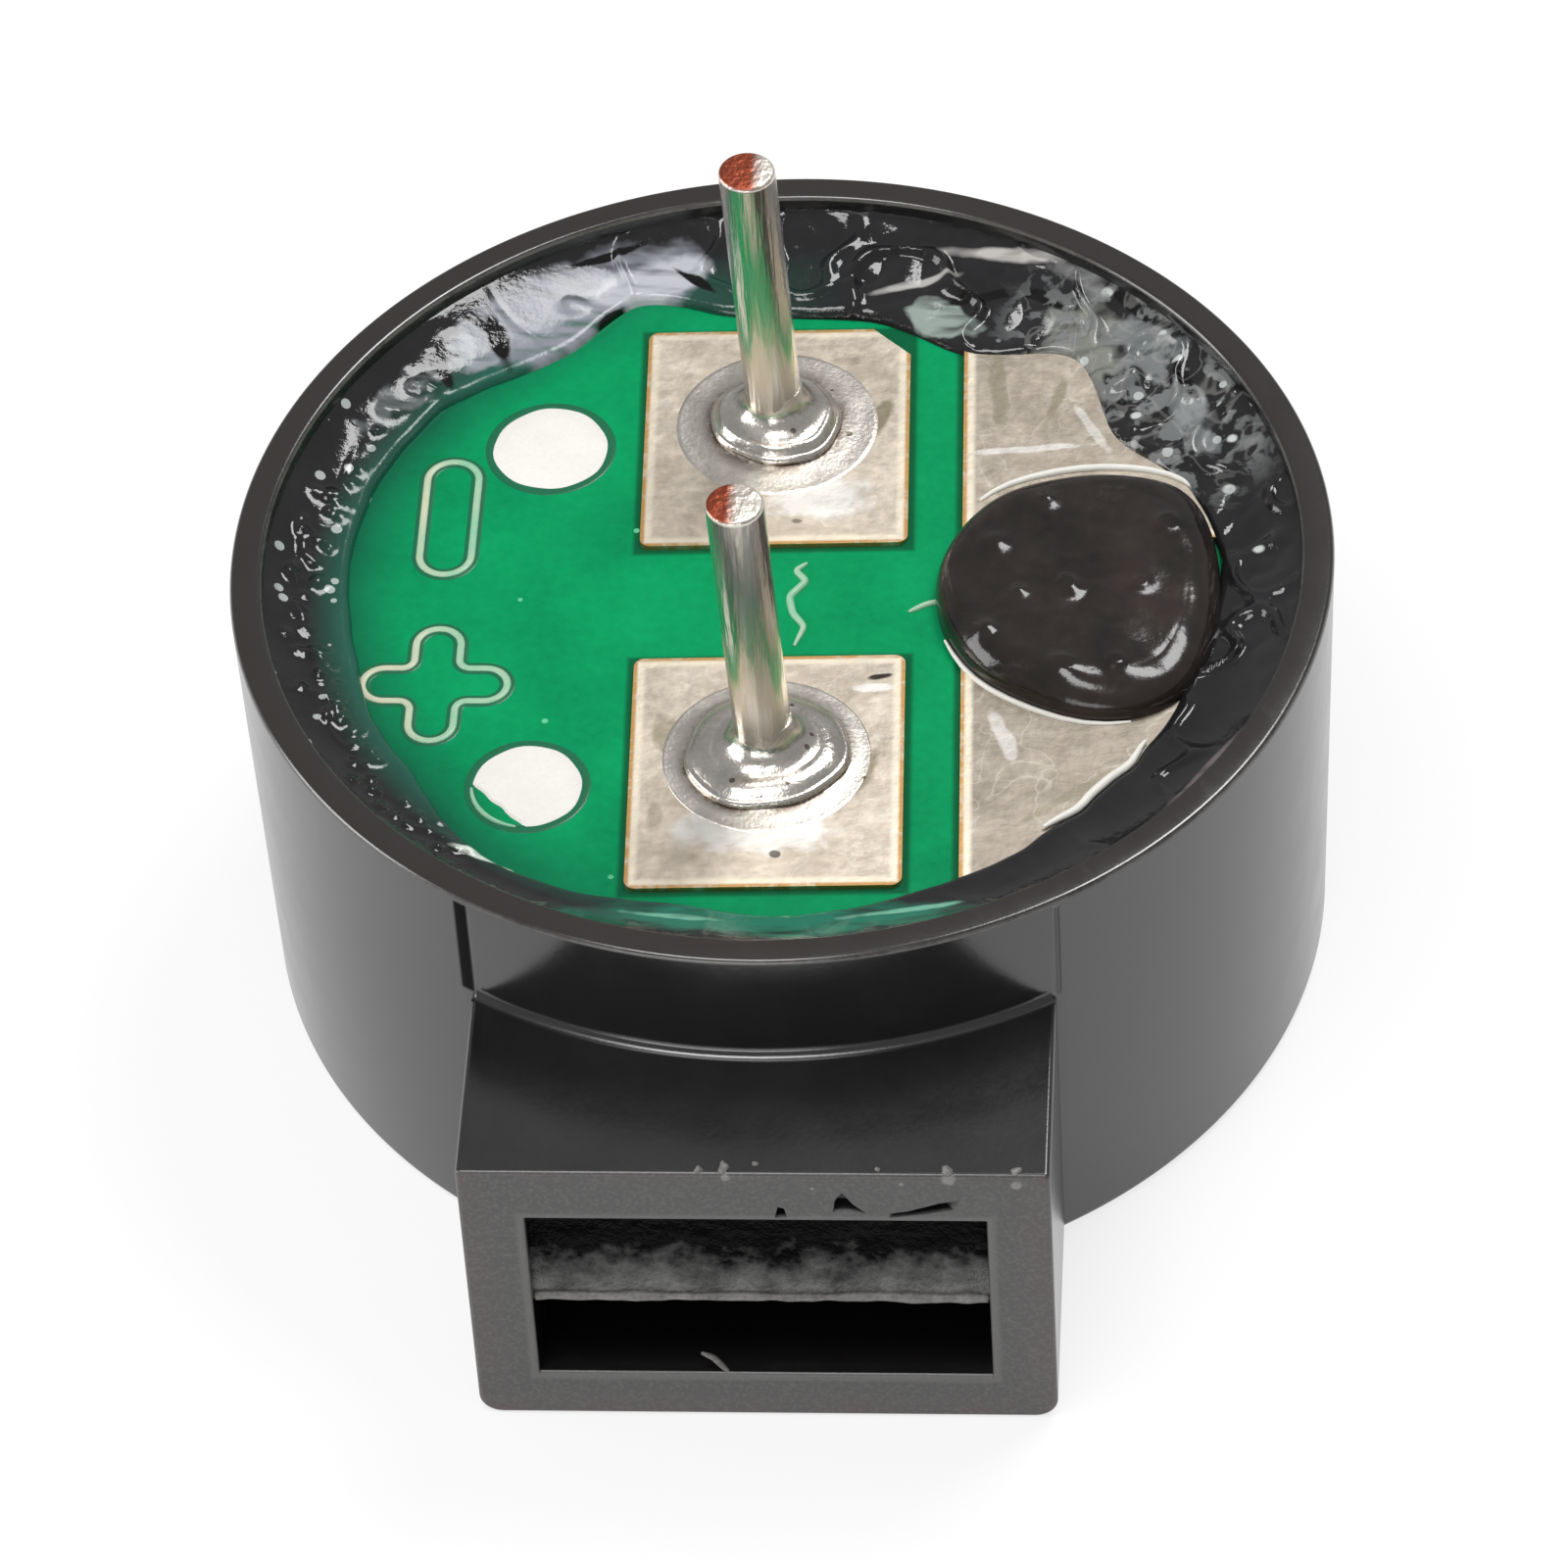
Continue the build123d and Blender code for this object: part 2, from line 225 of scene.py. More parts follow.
def plus(*values):
    return calc("ADD", *values)


def less(*values):
    return calc("SUBTRACT", *values)


def blend(factor, a, b):
    # Colour a where the factor is 0, colour b where it is 1
    return addNode(factor.id_data, "ShaderNodeMix", {0: factor, 6: a, 7: b}, data_type="RGBA").outputs[2]


def ramp(value, low, high):
    # 0 at low, 1 at high, straight in between and level beyond
    inputs = {"Value": value, "From Min": low, "From Max": high}
    return addNode(value.id_data, "ShaderNodeMapRange", inputs).outputs[0]


def band(value, start, full, fade, end):
    # 1 between full and fade, 0 outside start and end
    return times(ramp(value, start, full), ramp(value, end, fade))


def noise(place, scale, detail=2.0, roughness=0.5, distortion=0.0):
    inputs = {"Vector": place, "Scale": scale, "Detail": detail, "Roughness": roughness,
              "Distortion": distortion}
    return addNode(place.id_data, "ShaderNodeTexNoise", inputs).outputs[0]


def mapped(place, **inputs):
    # Coordinates moved, turned or scaled, by a location, rotation or scale
    inputs = {key.title(): value for key, value in inputs.items()}
    return addNode(place.id_data, "ShaderNodeMapping", {"Vector": place, **inputs}).outputs[0]


def axes(place):
    return addNode(place.id_data, "ShaderNodeSeparateXYZ", {0: place}).outputs


def fromAxis(x, y):
    # Distance from the case's axis: root of x squared plus y squared
    return calc("SQRT", plus(times(x, x), times(y, y)))


def scaled(colour, factor):
    return tuple(c * factor for c in colour)


def newMaterial(name):
    # A material without its shader yet, and its Object coordinates in millimetres
    material = bpy.data.materials.new(name)
    material.use_nodes = True
    material.node_tree.nodes.clear()
    place = addNode(material.node_tree, "ShaderNodeTexCoord").outputs["Object"]
    return material, mapped(place, scale=(1000, 1000, 1000))


def finished(material, colour, roughness, bump, metallic=0.0, specular=0.5):
    # Adds the shader. The bump is a height, its strength and its depth in millimetres.
    tree = material.node_tree
    height, strength, depth = bump
    normal = addNode(tree, "ShaderNodeBump", {"Height": height, "Strength": strength, "Distance": depth * mm})
    shader = addNode(tree, "ShaderNodeBsdfPrincipled", {
        "Base Color": colour, "Roughness": roughness, "Metallic": metallic, "Specular IOR Level": specular,
        "Normal": normal.outputs[0]})
    addNode(tree, "ShaderNodeOutputMaterial", {"Surface": shader.outputs[0]})
    return material


def newGroup(name, build, outputs, inputs):
    # Inputs without a preset are vectors; the others and all outputs are plain values
    group = bpy.data.node_groups.new(name, "ShaderNodeTree")
    for label, preset in inputs.items():
        kind = "NodeSocketVector" if preset is None else "NodeSocketFloat"
        socket = group.interface.new_socket(name=label, in_out="INPUT", socket_type=kind)
        if preset is not None:
            socket.default_value = preset
    for label in outputs:
        group.interface.new_socket(name=label, in_out="OUTPUT", socket_type="NodeSocketFloat")
    given = group.nodes.new("NodeGroupInput").outputs
    results = build(*[given[label] for label in inputs])
    addNode(group, "NodeGroupOutput", dict(zip(outputs, results)))
    return group


def useGroup(group, *values):
    # A group's outputs in this material, with its inputs in the order of newGroup
    return addNode(values[0].id_data, "ShaderNodeGroup", dict(enumerate(values)), node_tree=group).outputs


def mottlingNodes(place, coarse, fine, share):
    # Two sizes of cloudy noise added up, as a tone and as a height from 0 to 1
    large, small = noise(place, coarse, 4.0, 0.55), noise(place, fine, 3.0, 0.6)
    both = addNode(place.id_data, "ShaderNodeMix", {0: share, 2: large, 3: small}).outputs[0]
    return ramp(both, 0.3, 0.7), both


def specksNodes(place, scale, size, amount):
    # Small round spots at random places, where the given amount of the cells hold one
    cells = addNode(place.id_data, "ShaderNodeTexVoronoi", {"Vector": place, "Scale": scale})
    pick = addNode(place.id_data, "ShaderNodeSeparateColor", {0: cells.outputs["Color"]}).outputs[0]
    return [times(calc("LESS_THAN", cells.outputs["Distance"], size), calc("LESS_THAN", pick, amount))]


def blotchNodes(place, centre, size, turn, ragged, grain, soft):
    # An oval patch with a ragged border, 1 inside and 0 outside. The size is its half widths.
    inputs = {"Vector": place, "Location": centre, "Rotation": turn, "Scale": size}
    local = addNode(place.id_data, "ShaderNodeMapping", inputs, vector_type="TEXTURE").outputs[0]
    away = addNode(place.id_data, "ShaderNodeVectorMath", {0: local}, operation="LENGTH").outputs["Value"]
    shift = times(less(noise(place, grain, 3.0), 0.5), ragged, 3.0)
    return [ramp(plus(away, shift), 1.0, less(1.0, soft))]


def boxNodes(place, centre, half):
    # How far a point lies inside an upright box's outline, negative outside it
    x, y, z = zip(axes(place), axes(centre), axes(half))
    margins = [less(reach, calc("ABSOLUTE", less(at, middle))) for at, middle, reach in (x, y)]
    return [calc("MINIMUM", *margins)]


def veinsNodes(place, scale, width):
    # Thin wandering lines where a noise crosses its middle value
    crossing = calc("ABSOLUTE", less(noise(place, scale, distortion=1.0), 0.5))
    return [ramp(crossing, width, times(width, 0.4))]


mottling = newGroup("mottling", mottlingNodes, ["Tone", "Height"],
                    {"Vector": None, "Coarse": 1.0, "Fine": 12.0, "Fine Share": 0.4})
specks = newGroup("specks", specksNodes, ["Mask"],
                  {"Vector": None, "Scale": 3.0, "Size": 0.12, "Amount": 0.3})
blotch = newGroup("blotch", blotchNodes, ["Mask"], {"Vector": None, "Centre": None, "Size": None,
                                                    "Turn": None, "Ragged": 0.3, "Grain": 2.0, "Soft": 0.2})
boxDistance = newGroup("boxDistance", boxNodes, ["Inside"], {"Vector": None, "Centre": None, "Half": None})
veins = newGroup("veins", veinsNodes, ["Mask"], {"Vector": None, "Scale": 1.6, "Width": 0.02})


def spot(place, centre, size, turn=0.0, ragged=0.3, grain=2.0, soft=0.2):
    # One blotch in the plane of the board: centre and half widths in millimetres, turn in degrees
    return useGroup(blotch, place, (*centre, 0), (*size, 1000), (0, 0, radians(turn)), ragged, grain, soft)[0]


def insideBox(place, centre, half):
    return useGroup(boxDistance, place, (*centre, 0), (*half, 0))[0]


def plainMaterial(name, dark, light, roughness, grain, bump, metallic=0.0):
    # Mottled between two colours. Roughness: least, and its rise with the tone. Grain: coarse, fine, share.
    material, place = newMaterial(name)
    tone, height = useGroup(mottling, place, *grain)
    rough = plus(times(tone, roughness[1]), roughness[0])
    return finished(material, blend(tone, dark, light), rough, (height, *bump), metallic)


print("helpers ready")

# Circuit board: its place in the case, and its colours, with outline the painted shadow round the lands.
# Sizes in millimetres.
board = {"shift": -0.12, "turn": 1.5, "top": 4.8, "landTop": 4.86, "rim": 5.45,
         "lacquer": (0.0, 0.300, 0.105), "outline": (0.002, 0.055, 0.022), "dust": (0.16, 0.62, 0.36),
         "smear": (0.006, 0.070, 0.045)}

# Case: black moulded plastic
caseLook = {
    "radius": 6.0, "height": 5.4, "draft": 0.1, "faceWall": 0.68, "faceEdge": 0.12, "rimWall": 0.35,
    "rimEdge": 0.06, "chamberRadius": 4.7, "chamberTop": 2.28, "seatRadius": 5.3, "ledge": 4.0,
    "spoutHalf": 3.1, "spoutHeight": 3.93, "spoutReach": 7.65, "sideWall": 0.685, "roof": 0.74,
    "lowCorner": 0.25, "edge": 0.06, "root": 0.12, "mouthDepth": 0.22, "baffleLean": 0.09, "mouthEdge": 0.05,
    "ductHeight": 1.15, "sharp": 0.01, "roughness": 0.17, "gloss": 1.0,
    "colour": (0.009, 0.009, 0.009), "endColour": (0.026, 0.025, 0.024), "endTint": (0.055, 0.028, 0.028),
    "speck": (0.19, 0.18, 0.17), "grit": (0.10, 0.098, 0.094), "bafflePaintedShadow": (0.003, 0.003, 0.003),
    "bafflePaintedLight": (0.115, 0.113, 0.110), "duct": (0.008, 0.007, 0.007), "rim": (0.016, 0.012, 0.010),
    "rimHighlight": (0.085, 0.080, 0.074), "witness": (0.001, 0.001, 0.001),
    # Chips above the mouth: outlines in (x, z) on the spout's end, each cut as a pit in (depth, growth) steps
    "chips": [
        [(0.22, 3.26), (0.33, 3.27), (0.31, 3.39), (0.25, 3.41)],
        [(0.84, 3.36), (1.14, 3.35), (1.02, 3.48), (0.93, 3.63), (0.86, 3.52)],
        [(1.46, 3.28), (1.80, 3.34), (2.04, 3.40), (2.10, 3.53), (1.90, 3.48), (1.62, 3.37), (1.46, 3.34)]],
    "chipSteps": [(0.16, 0.7), (0.02, 1.1), (-0.05, 1.35)],
    # Pale specks on the spout's end as (x, z, size), and crumbs of flash along its top edge
    "paleSpecks": [(2.03, 3.86, 0.08), (2.74, 3.79, 0.07), (-0.28, 3.88, 0.05), (0.62, 3.72, 0.03),
                   (1.55, 3.80, 0.035)],
    "crumbs": [((-0.30, -7.57, 3.93), 0.065), ((-0.55, -7.58, 3.91), 0.05), ((2.03, -7.57, 3.93), 0.075),
               ((2.74, -7.57, 3.92), 0.065), ((0.03, -7.50, 3.93), 0.045), ((1.30, -7.56, 3.93), 0.035)],
    "lipBurr": [(-0.40, -7.60, 0.66), (-0.46, -7.59, 0.74), (-0.56, -7.58, 0.88), (-0.68, -7.58, 0.95)],
}
endY = -caseLook["spoutReach"]
mouthHalf = caseLook["spoutHalf"] - caseLook["sideWall"]
mouthTop = caseLook["spoutHeight"] - caseLook["roof"]
ductTop = caseLook["faceWall"] + caseLook["ductHeight"]


def spoutEndColour(place, tone):
    # Duller and paler than the rest, with a reddish cast towards the outer edges
    look = caseLook
    x, y, z = axes(place)
    flat = addNode(place.id_data, "ShaderNodeCombineXYZ", {"X": x, "Y": z}).outputs[0]
    colour = blend(times(tone, 0.7), look["endColour"], scaled(look["endColour"], 1.35))
    border = ramp(insideBox(flat, (0, 2.1), (look["spoutHalf"], 2.1)), 0.45, 0.0)
    colour = blend(times(border, ramp(tone, 0.1, 0.8)), colour, look["endTint"])
    # A paler line runs round the mouth: a painted highlight on its rounded edge
    low = look["faceWall"]
    opening = insideBox(flat, (0, (mouthTop + low) / 2), (mouthHalf, (mouthTop - low) / 2))
    colour = blend(times(ramp(opening, -0.12, -0.07), 0.8), colour, scaled(look["endColour"], 3.2))
    for specX, specZ, size in look["paleSpecks"]:
        colour = blend(spot(flat, (specX, specZ), (size, size), 0, 0.4, 6.0, 0.5), colour, look["speck"])
    return blend(times(ramp(noise(place, 22.0), 0.45, 0.75), 0.5), colour, look["grit"])


def caseMaterial():
    look = caseLook
    material, place = newMaterial("caseMoulding")
    tone, height = useGroup(mottling, place, 1.6, 14.0, 0.35)
    x, y, z = axes(place)
    colour = blend(tone, look["colour"], scaled(look["colour"], 1.45))
    atEnd = ramp(y, endY + 0.05, endY + 0.02)
    colour = blend(atEnd, colour, spoutEndColour(place, tone))
    # The baffle is torn and rough, with painted light along its lower edge and the roof's painted shadow over
    # its upper part
    inMouth = times(ramp(calc("ABSOLUTE", x), mouthHalf + 0.035, mouthHalf + 0.015),
                    ramp(z, mouthTop + 0.03, mouthTop + 0.01))
    back = endY + look["mouthDepth"]
    onBaffle = times(band(y, endY + 0.06, endY + 0.07, back + 0.03, back + 0.06),
                     ramp(z, ductTop - 0.03, ductTop - 0.01), inMouth)
    torn = noise(place, 3.4, 4.0, 0.62)
    low = ramp(plus(z, times(torn, 1.2)), 3.12, 2.42)
    colour = blend(onBaffle, colour, blend(low, look["bafflePaintedShadow"], look["bafflePaintedLight"]))
    # The duct behind it is painted darker, as painted shade
    inDuct = times(inMouth, band(y, -7.50, -7.42, -5.1, -5.0),
                   band(z, 0.60, 0.62, ductTop + 0.01, ductTop + 0.03))
    colour = blend(inDuct, colour, look["duct"])
    # A brown cast on the rim, and a painted highlight along its rounded edge
    colour = blend(ramp(z, 5.36, 5.395), colour, look["rim"])
    rimHighlight = times(band(z, 5.345, 5.36, 5.38, 5.39), ramp(tone, 0.0, 0.6))
    colour = blend(rimHighlight, colour, look["rimHighlight"])
    # The mould's slide leaves a witness line on the wall above each of the spout's sides, deeper on the left
    onWall = times(band(y, -5.75, -5.70, -4.1, -4.0), band(z, 3.92, 3.97, 5.30, 5.34))
    side = look["spoutHalf"]
    leftLine = ramp(calc("ABSOLUTE", plus(x, side + 0.03)), 0.085, 0.055)
    rightLine = ramp(calc("ABSOLUTE", less(x, side + 0.02)), 0.035, 0.02)
    witness = times(onWall, plus(leftLine, times(rightLine, 0.7)))
    colour = blend(witness, colour, look["witness"])
    # The baffle's upper part, in the roof's painted shadow, and the left line hardly shine at all, as a black
    # metal would
    unlit = calc("MAXIMUM", times(onBaffle, less(1.0, low)), times(onWall, leftLine))
    # The sound face is spark-grained: coarse grain where the surface looks straight down
    normal = addNode(place.id_data, "ShaderNodeNewGeometry").outputs["Normal"]
    under = ramp(axes(normal)["Z"], -0.98, -0.999)
    rough = plus(times(tone, 0.06), look["roughness"], times(atEnd, 0.25), times(under, 0.15),
                 times(calc("MAXIMUM", onBaffle, witness), 0.4))
    relief = plus(times(height, 0.10), times(noise(place, 5.5, 5.0, 0.7), under, 2.5),
                  times(torn, onBaffle, 5.0), times(witness, -0.6))
    return finished(material, colour, rough, (relief, 0.6, 0.05), unlit, look["gloss"])


def makeCase():
    c = caseLook
    face, rim, h, e = c["radius"] - c["draft"], c["radius"], c["height"], c["rimEdge"]
    bore = rim - c["rimWall"]
    outer = np.vstack([[(0, 0)], arcPoints((face - c["faceEdge"], c["faceEdge"]), c["faceEdge"], -90, 0, 10),
                       arcPoints((rim - e, h - e), e, 0, 90, 6), [(0, h)]])
    cup = newPiece("caseBody", revolved(outer), caseMaterial(), ride=False)
    # The spout, rounded at its end
    end = np.radians(np.linspace(0, 90, 7))[1:]
    edge, top = c["edge"], c["spoutHeight"]
    insets = np.concatenate([[0, 0], edge * (1 - np.cos(end))])
    depths = np.concatenate([[-3.0, endY + edge], endY + edge * (1 - np.sin(end))])
    sections = [roundedSection(c["spoutHalf"], 0, top, c["lowCorner"], edge, inset) for inset in insets]
    spout = newPiece("spoutTool", prism(sections, depths), ride=False)
    # The cove where its top meets the wall
    wall, r = face + c["draft"] * top / h, c["root"]
    section = np.vstack([[(wall - r, top - 0.02), (wall + r, top - 0.02)],
                         arcPoints((wall + r, top + r), r, 270, 180), [(wall - r, top + r)]])
    reach = np.arcsin((c["spoutHalf"] - edge) / wall)
    angles = np.linspace(-pi / 2 - reach, -pi / 2 + reach, 60)
    cove = newPiece("coveTool", sweptArc(section, angles), ride=False)
    # What is cut out: the stepped bore, the mouth with a rounded lip, and the duct
    floor, ledge, chamber, seat = c["faceWall"], c["ledge"], c["chamberRadius"], c["seatRadius"]
    inner = np.vstack([[(0, floor), (chamber, floor), (chamber, c["chamberTop"]), (seat, c["chamberTop"]),
                        (seat, ledge), (bore, ledge)],
                       arcPoints((bore + e, h - e), e, 180, 90, 6), [(bore + e, h + 1), (0, h + 1)]])
    hollow = newPiece("boreTool", revolved(inner), ride=False)
    lip = c["mouthEdge"]
    flare = np.concatenate([[0, 0], -lip * (1 - np.cos(end)), [-lip]])
    lipDepths = np.concatenate([[endY + c["mouthDepth"], endY + lip], endY + lip * (1 - np.sin(end)),
                                [endY - 1]])
    sections = [roundedSection(mouthHalf, floor, mouthTop, c["sharp"], c["sharp"], inset) for inset in flare]
    points, faces = prism(sections, lipDepths)
    # The baffle leans: the cut's inner end comes nearer to the spout's end, from its top down to the duct
    innerEnd = points[:, 1] > endY + lip + 0.001
    points[innerEnd, 1] -= c["baffleLean"] * (mouthTop - points[innerEnd, 2]) / (mouthTop - ductTop)
    mouth = newPiece("mouthTool", (points, faces), ride=False)
    ductSection = roundedSection(mouthHalf, floor, ductTop, c["sharp"], c["sharp"])
    duct = newPiece("ductTool", prism([ductSection, ductSection], [-4.0, endY + 0.02]), ride=False)
    cuts = [hollow, mouth, duct]
    for outline in c["chips"]:
        outline = np.asarray(outline, float)
        middle = outline.mean(axis=0)
        rings = [middle + (outline - middle) * growth for depth, growth in c["chipSteps"]]
        pit = prism(rings, [endY + depth for depth, growth in c["chipSteps"]])
        cuts.append(newPiece("chipTool", pit, ride=False))
    combined(cup, [("UNION", spout), ("UNION", cove)] + [("DIFFERENCE", cut) for cut in cuts])
    cup.data.shade_smooth()
    cup.data.set_sharp_from_angle(angle=radians(32))
    weigh = cup.modifiers.new("evenShading", "WEIGHTED_NORMAL")
    weigh.keep_sharp = True
    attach(cup, "root")
    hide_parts("case")
    print("case ready", len(cup.data.polygons))


# Flash and crumbs that the mould left: a torn edge, a burr on the mouth's lower lip, grains on the top edge
def makeFlash():
    c = caseLook
    material = plainMaterial("paleFlash", (0.06, 0.058, 0.056), (0.26, 0.25, 0.24), (0.45, 0.0),
                             (4.0, 20.0, 0.5), (0.5, 0.02))
    chance = np.random.default_rng(8)
    x = np.linspace(-mouthHalf, mouthHalf, 220)
    wander = ripple(x, 0.0, 3, waves=18, low=1.0, high=9.0)
    lipY = endY + c["mouthDepth"] - c["baffleLean"]
    path = stacked(x, lipY - 0.02, ductTop + 0.012 + 0.02 * wander)
    radii = 0.050 * (1 + 0.8 * ripple(x, 0.0, 9, waves=20, low=2.0, high=12.0))
    radii[[0, -1]] = 0.004
    newPiece("tornEdge", tube(path, np.clip(radii, 0.004, 0.08)), material, 80)
    threadAlong("lipBurr", c["lipBurr"], 0.035, material)
    halfCircle = np.vstack([[(0, -1)], arcPoints((0, 0), 1, -90, 90, 12)[1:-1], [(0, 1)]])
    for number, (place, size) in enumerate(c["crumbs"]):
        points, faces = revolved(halfCircle, 20)
        u, v = points[:, 0] * 2 + number, points[:, 1] * 2 + points[:, 2]
        bumpy = 1 + 0.25 * ripple(u, v, 31 + number, low=0.3, high=1.2)
        points = points * bumpy[:, None] * size * chance.uniform(0.7, 1.1, 3) + np.asarray(place)
        newPiece(f"crumb{number}", (points, faces), material, 80)


makeCase()
makeFlash()
print("flash ready")

# Tinned lands: brushed and mottled, with a pale line inside the edge and a golden one along it.
# Each has its middle and half size on the board, a tone, and stains and spots of painted glare in the case's
# axes:
# (x, y), half widths, turn, colour and share.
landLook = {"colour": (0.95, 0.85, 0.72), "dull": (0.60, 0.52, 0.42), "gold": (0.62, 0.36, 0.14),
            "cream": (0.95, 0.86, 0.70), "veins": (0.90, 0.86, 0.78), "line": 0.10,
            "glare": (0.97, 0.95, 0.91), "stain": (0.27, 0.24, 0.15), "dark": (0.03, 0.025, 0.02)}
lands = {
    "front_pin_land": ((0.0, -2.75), (1.47, 1.69), 1.0, [
        ((-0.10, -3.62), (0.98, 0.40), 0, "glare", 0.9), ((-1.12, -2.30), (0.16, 0.42), 15, "stain", 0.6),
        ((1.00, -2.75), (0.13, 0.40), -25, "stain", 0.7), ((1.10, -1.35), (0.17, 0.05), 12, "dark", 0.95),
        ((1.02, -1.52), (0.26, 0.07), 5, "glare", 0.9), ((0.11, -3.97), (0.07, 0.06), 0, "dark", 0.8),
        ((-1.20, -3.4), (0.12, 0.3), 0, "stain", 0.4)]),
    "rear_pin_land": ((0.0, 2.35), (1.47, 1.69), 1.0, [
        ((0.30, 1.38), (0.62, 0.42), 8, "glare", 0.9), ((-0.78, 2.95), (0.40, 0.12), 28, "stain", 0.75),
        ((-1.10, 2.35), (0.13, 0.42), 5, "stain", 0.6), ((0.95, 2.62), (0.12, 0.36), -20, "stain", 0.8),
        ((0.10, 1.02), (0.09, 0.05), 0, "dark", 0.6), ((0.55, 3.55), (0.25, 0.10), 0, "stain", 0.4)]),
    "front_wire_land": ((4.57, -2.75), (2.5, 1.69), 0.62, [
        ((2.45, -2.2), (0.10, 0.5), 20, "glare", 0.5), ((3.2, -3.1), (0.9, 0.06), 38, "stain", 0.35)]),
    "rear_wire_land": ((4.57, 2.35), (2.5, 1.69), 0.72, [
        ((2.25, 3.2), (0.12, 0.8), 4, "stain", 0.5), ((2.6, 2.15), (0.8, 0.06), 6, "glare", 0.6),
        ((2.9, 2.9), (0.5, 0.08), 75, "stain", 0.5), ((3.3, 2.5), (0.55, 0.07), -62, "glare", 0.5)]),
}


def ownFrame(place):
    # Coordinates along the board's own axes, which are turned a little against the case's
    turn, shift = radians(board["turn"]), board["shift"]
    return mapped(place, location=(-shift * cos(turn), shift * sin(turn), 0), rotation=(0, 0, -turn))


def boardMaterial():
    material, place = newMaterial("greenLacquer")
    tone, height = useGroup(mottling, place, 0.9, 9.0, 0.35)
    green = blend(tone, scaled(board["lacquer"], 0.78), scaled(board["lacquer"], 1.15))
    # A painted shadow: a dark line round each land, at the foot of its edge
    local = ownFrame(place)
    for centre, half, *others in lands.values():
        landShadow = ramp(insideBox(local, centre, half), -0.10, -0.05)
        green = blend(times(landShadow, 0.75), green, board["outline"])
    green = blend(times(useGroup(specks, place, 2.4, 0.085, 0.16)[0], 0.8), green, board["dust"])
    # Resin has smeared thinly over its edge, most on the left
    x, y, z = axes(place)
    smear = times(ramp(fromAxis(x, y), 4.15, 4.85), plus(times(ramp(x, -1.5, -3.5), 0.5), 0.25))
    green = blend(smear, green, board["smear"])
    return finished(material, green, plus(times(tone, 0.1), 0.26), (height, 0.2, 0.03), specular=0.12)


def landMaterial(name):
    look = landLook
    centre, half, share, spots = lands[name]
    material, place = newMaterial("tinned_" + name)
    tone, height = useGroup(mottling, place, 1.6, 7.0, 0.5)
    inside = insideBox(ownFrame(place), centre, half)
    brushed = noise(mapped(place, rotation=(0, 0, 0.9), scale=(1.6, 3.6, 1.0)), 1.0, 4.0, 0.65)
    uneven = times(tone, ramp(brushed, 0.25, 0.6))
    metal = blend(uneven, scaled(look["dull"], share), scaled(look["colour"], share))
    metal = blend(times(useGroup(veins, place, 1.1, 0.012)[0], 0.2), metal, look["veins"])
    for at, size, turn, kind, amount in spots:
        metal = blend(times(spot(place, at, size, turn, 0.45, 3.0, 0.35), amount), metal, look[kind])
    metal = blend(ramp(inside, look["line"] * 1.5, look["line"]), metal, look["cream"])
    tarnish = times(ramp(inside, look["line"] * 0.6, look["line"] * 0.3), ramp(tone, 0.0, 0.5))
    metal = blend(tarnish, metal, look["gold"])
    rough = plus(times(tone, 0.14), 0.38)
    return finished(material, metal, rough, (plus(height, times(brushed, 0.8)), 0.3, 0.02), 1.0)


def dress(nodeName, material):
    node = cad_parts[nodeName]
    node.data.materials.clear()
    node.data.materials.append(material)


dress("circuit_board", boardMaterial())
for nodeName in lands:
    dress(nodeName, landMaterial(nodeName))
print("board and lands ready")

# Pins: drawn wire, tinned, sheared at the tip so that some copper shows
pinLook = {"radius": 0.31, "tip": 8.68, "round": 0.05, "pitch": 5.08, "lean": 0.16, "tin": (0.84, 0.78, 0.70),
           "copper": (0.36, 0.085, 0.045)}


def pinMaterial():
    material, place = newMaterial("tinnedWire")
    drawn = noise(mapped(place, scale=(9.0, 9.0, 0.7)), 1.0, 3.0)
    x, y, z = axes(place)
    atTip = ramp(z, pinLook["tip"] - 0.03, pinLook["tip"] - 0.01)
    tin = blend(drawn, scaled(pinLook["tin"], 0.75), pinLook["tin"])
    colour = blend(times(atTip, ramp(x, -0.18, -0.30)), tin, pinLook["copper"])
    return finished(material, colour, plus(times(atTip, 0.2), 0.24), (drawn, 0.6, 0.05), 1.0)


def makePin(name, node, side, material):
    p = pinLook
    foot, radius, corner = caseLook["ledge"], p["radius"], p["round"]
    levels = np.linspace(foot + 0.1, p["tip"] - corner - 0.02, 24)
    profile = np.vstack([[(0, foot), (radius, foot)], stacked(radius, levels),
                         arcPoints((radius - corner, p["tip"] - corner), corner, 0, 90, 5), [(0, p["tip"])]])
    points, faces = revolved(profile, 64)
    middle = onBoard(0, side * p["pitch"] / 2)
    # The wire leans a little, more towards its tip, by a share of its height above the board
    rise = np.clip((points[:, 2] - board["landTop"]) / (p["tip"] - board["landTop"]), 0, 1)
    points[:, 0] += middle[0] - p["lean"] * rise
    points[:, 1] += middle[1]
    pin = newPiece(name, (points, faces), material, 40)
    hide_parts(node)


tinnedWire = pinMaterial()
makePin("frontWire", "front_pin", -1, tinnedWire)
makePin("rearWire", "rear_pin", 1, tinnedWire)
print("pins ready")

# Solder joints: a thin puddle on the land, a rounded collar, and a hollow flare up the pin
solderLook = {"puddle": 1.12, "puddleEdge": 0.01, "puddleRise": 0.03, "sideLean": 0.06, "sideHeight": 0.13,
              "shoulder": 0.24, "shoulderHeight": 0.22, "climb": 0.62, "unevenness": 0.035,
              "colour": (0.86, 0.81, 0.74), "pits": (0.25, 0.22, 0.18), "flux": (0.10, 0.055, 0.03)}


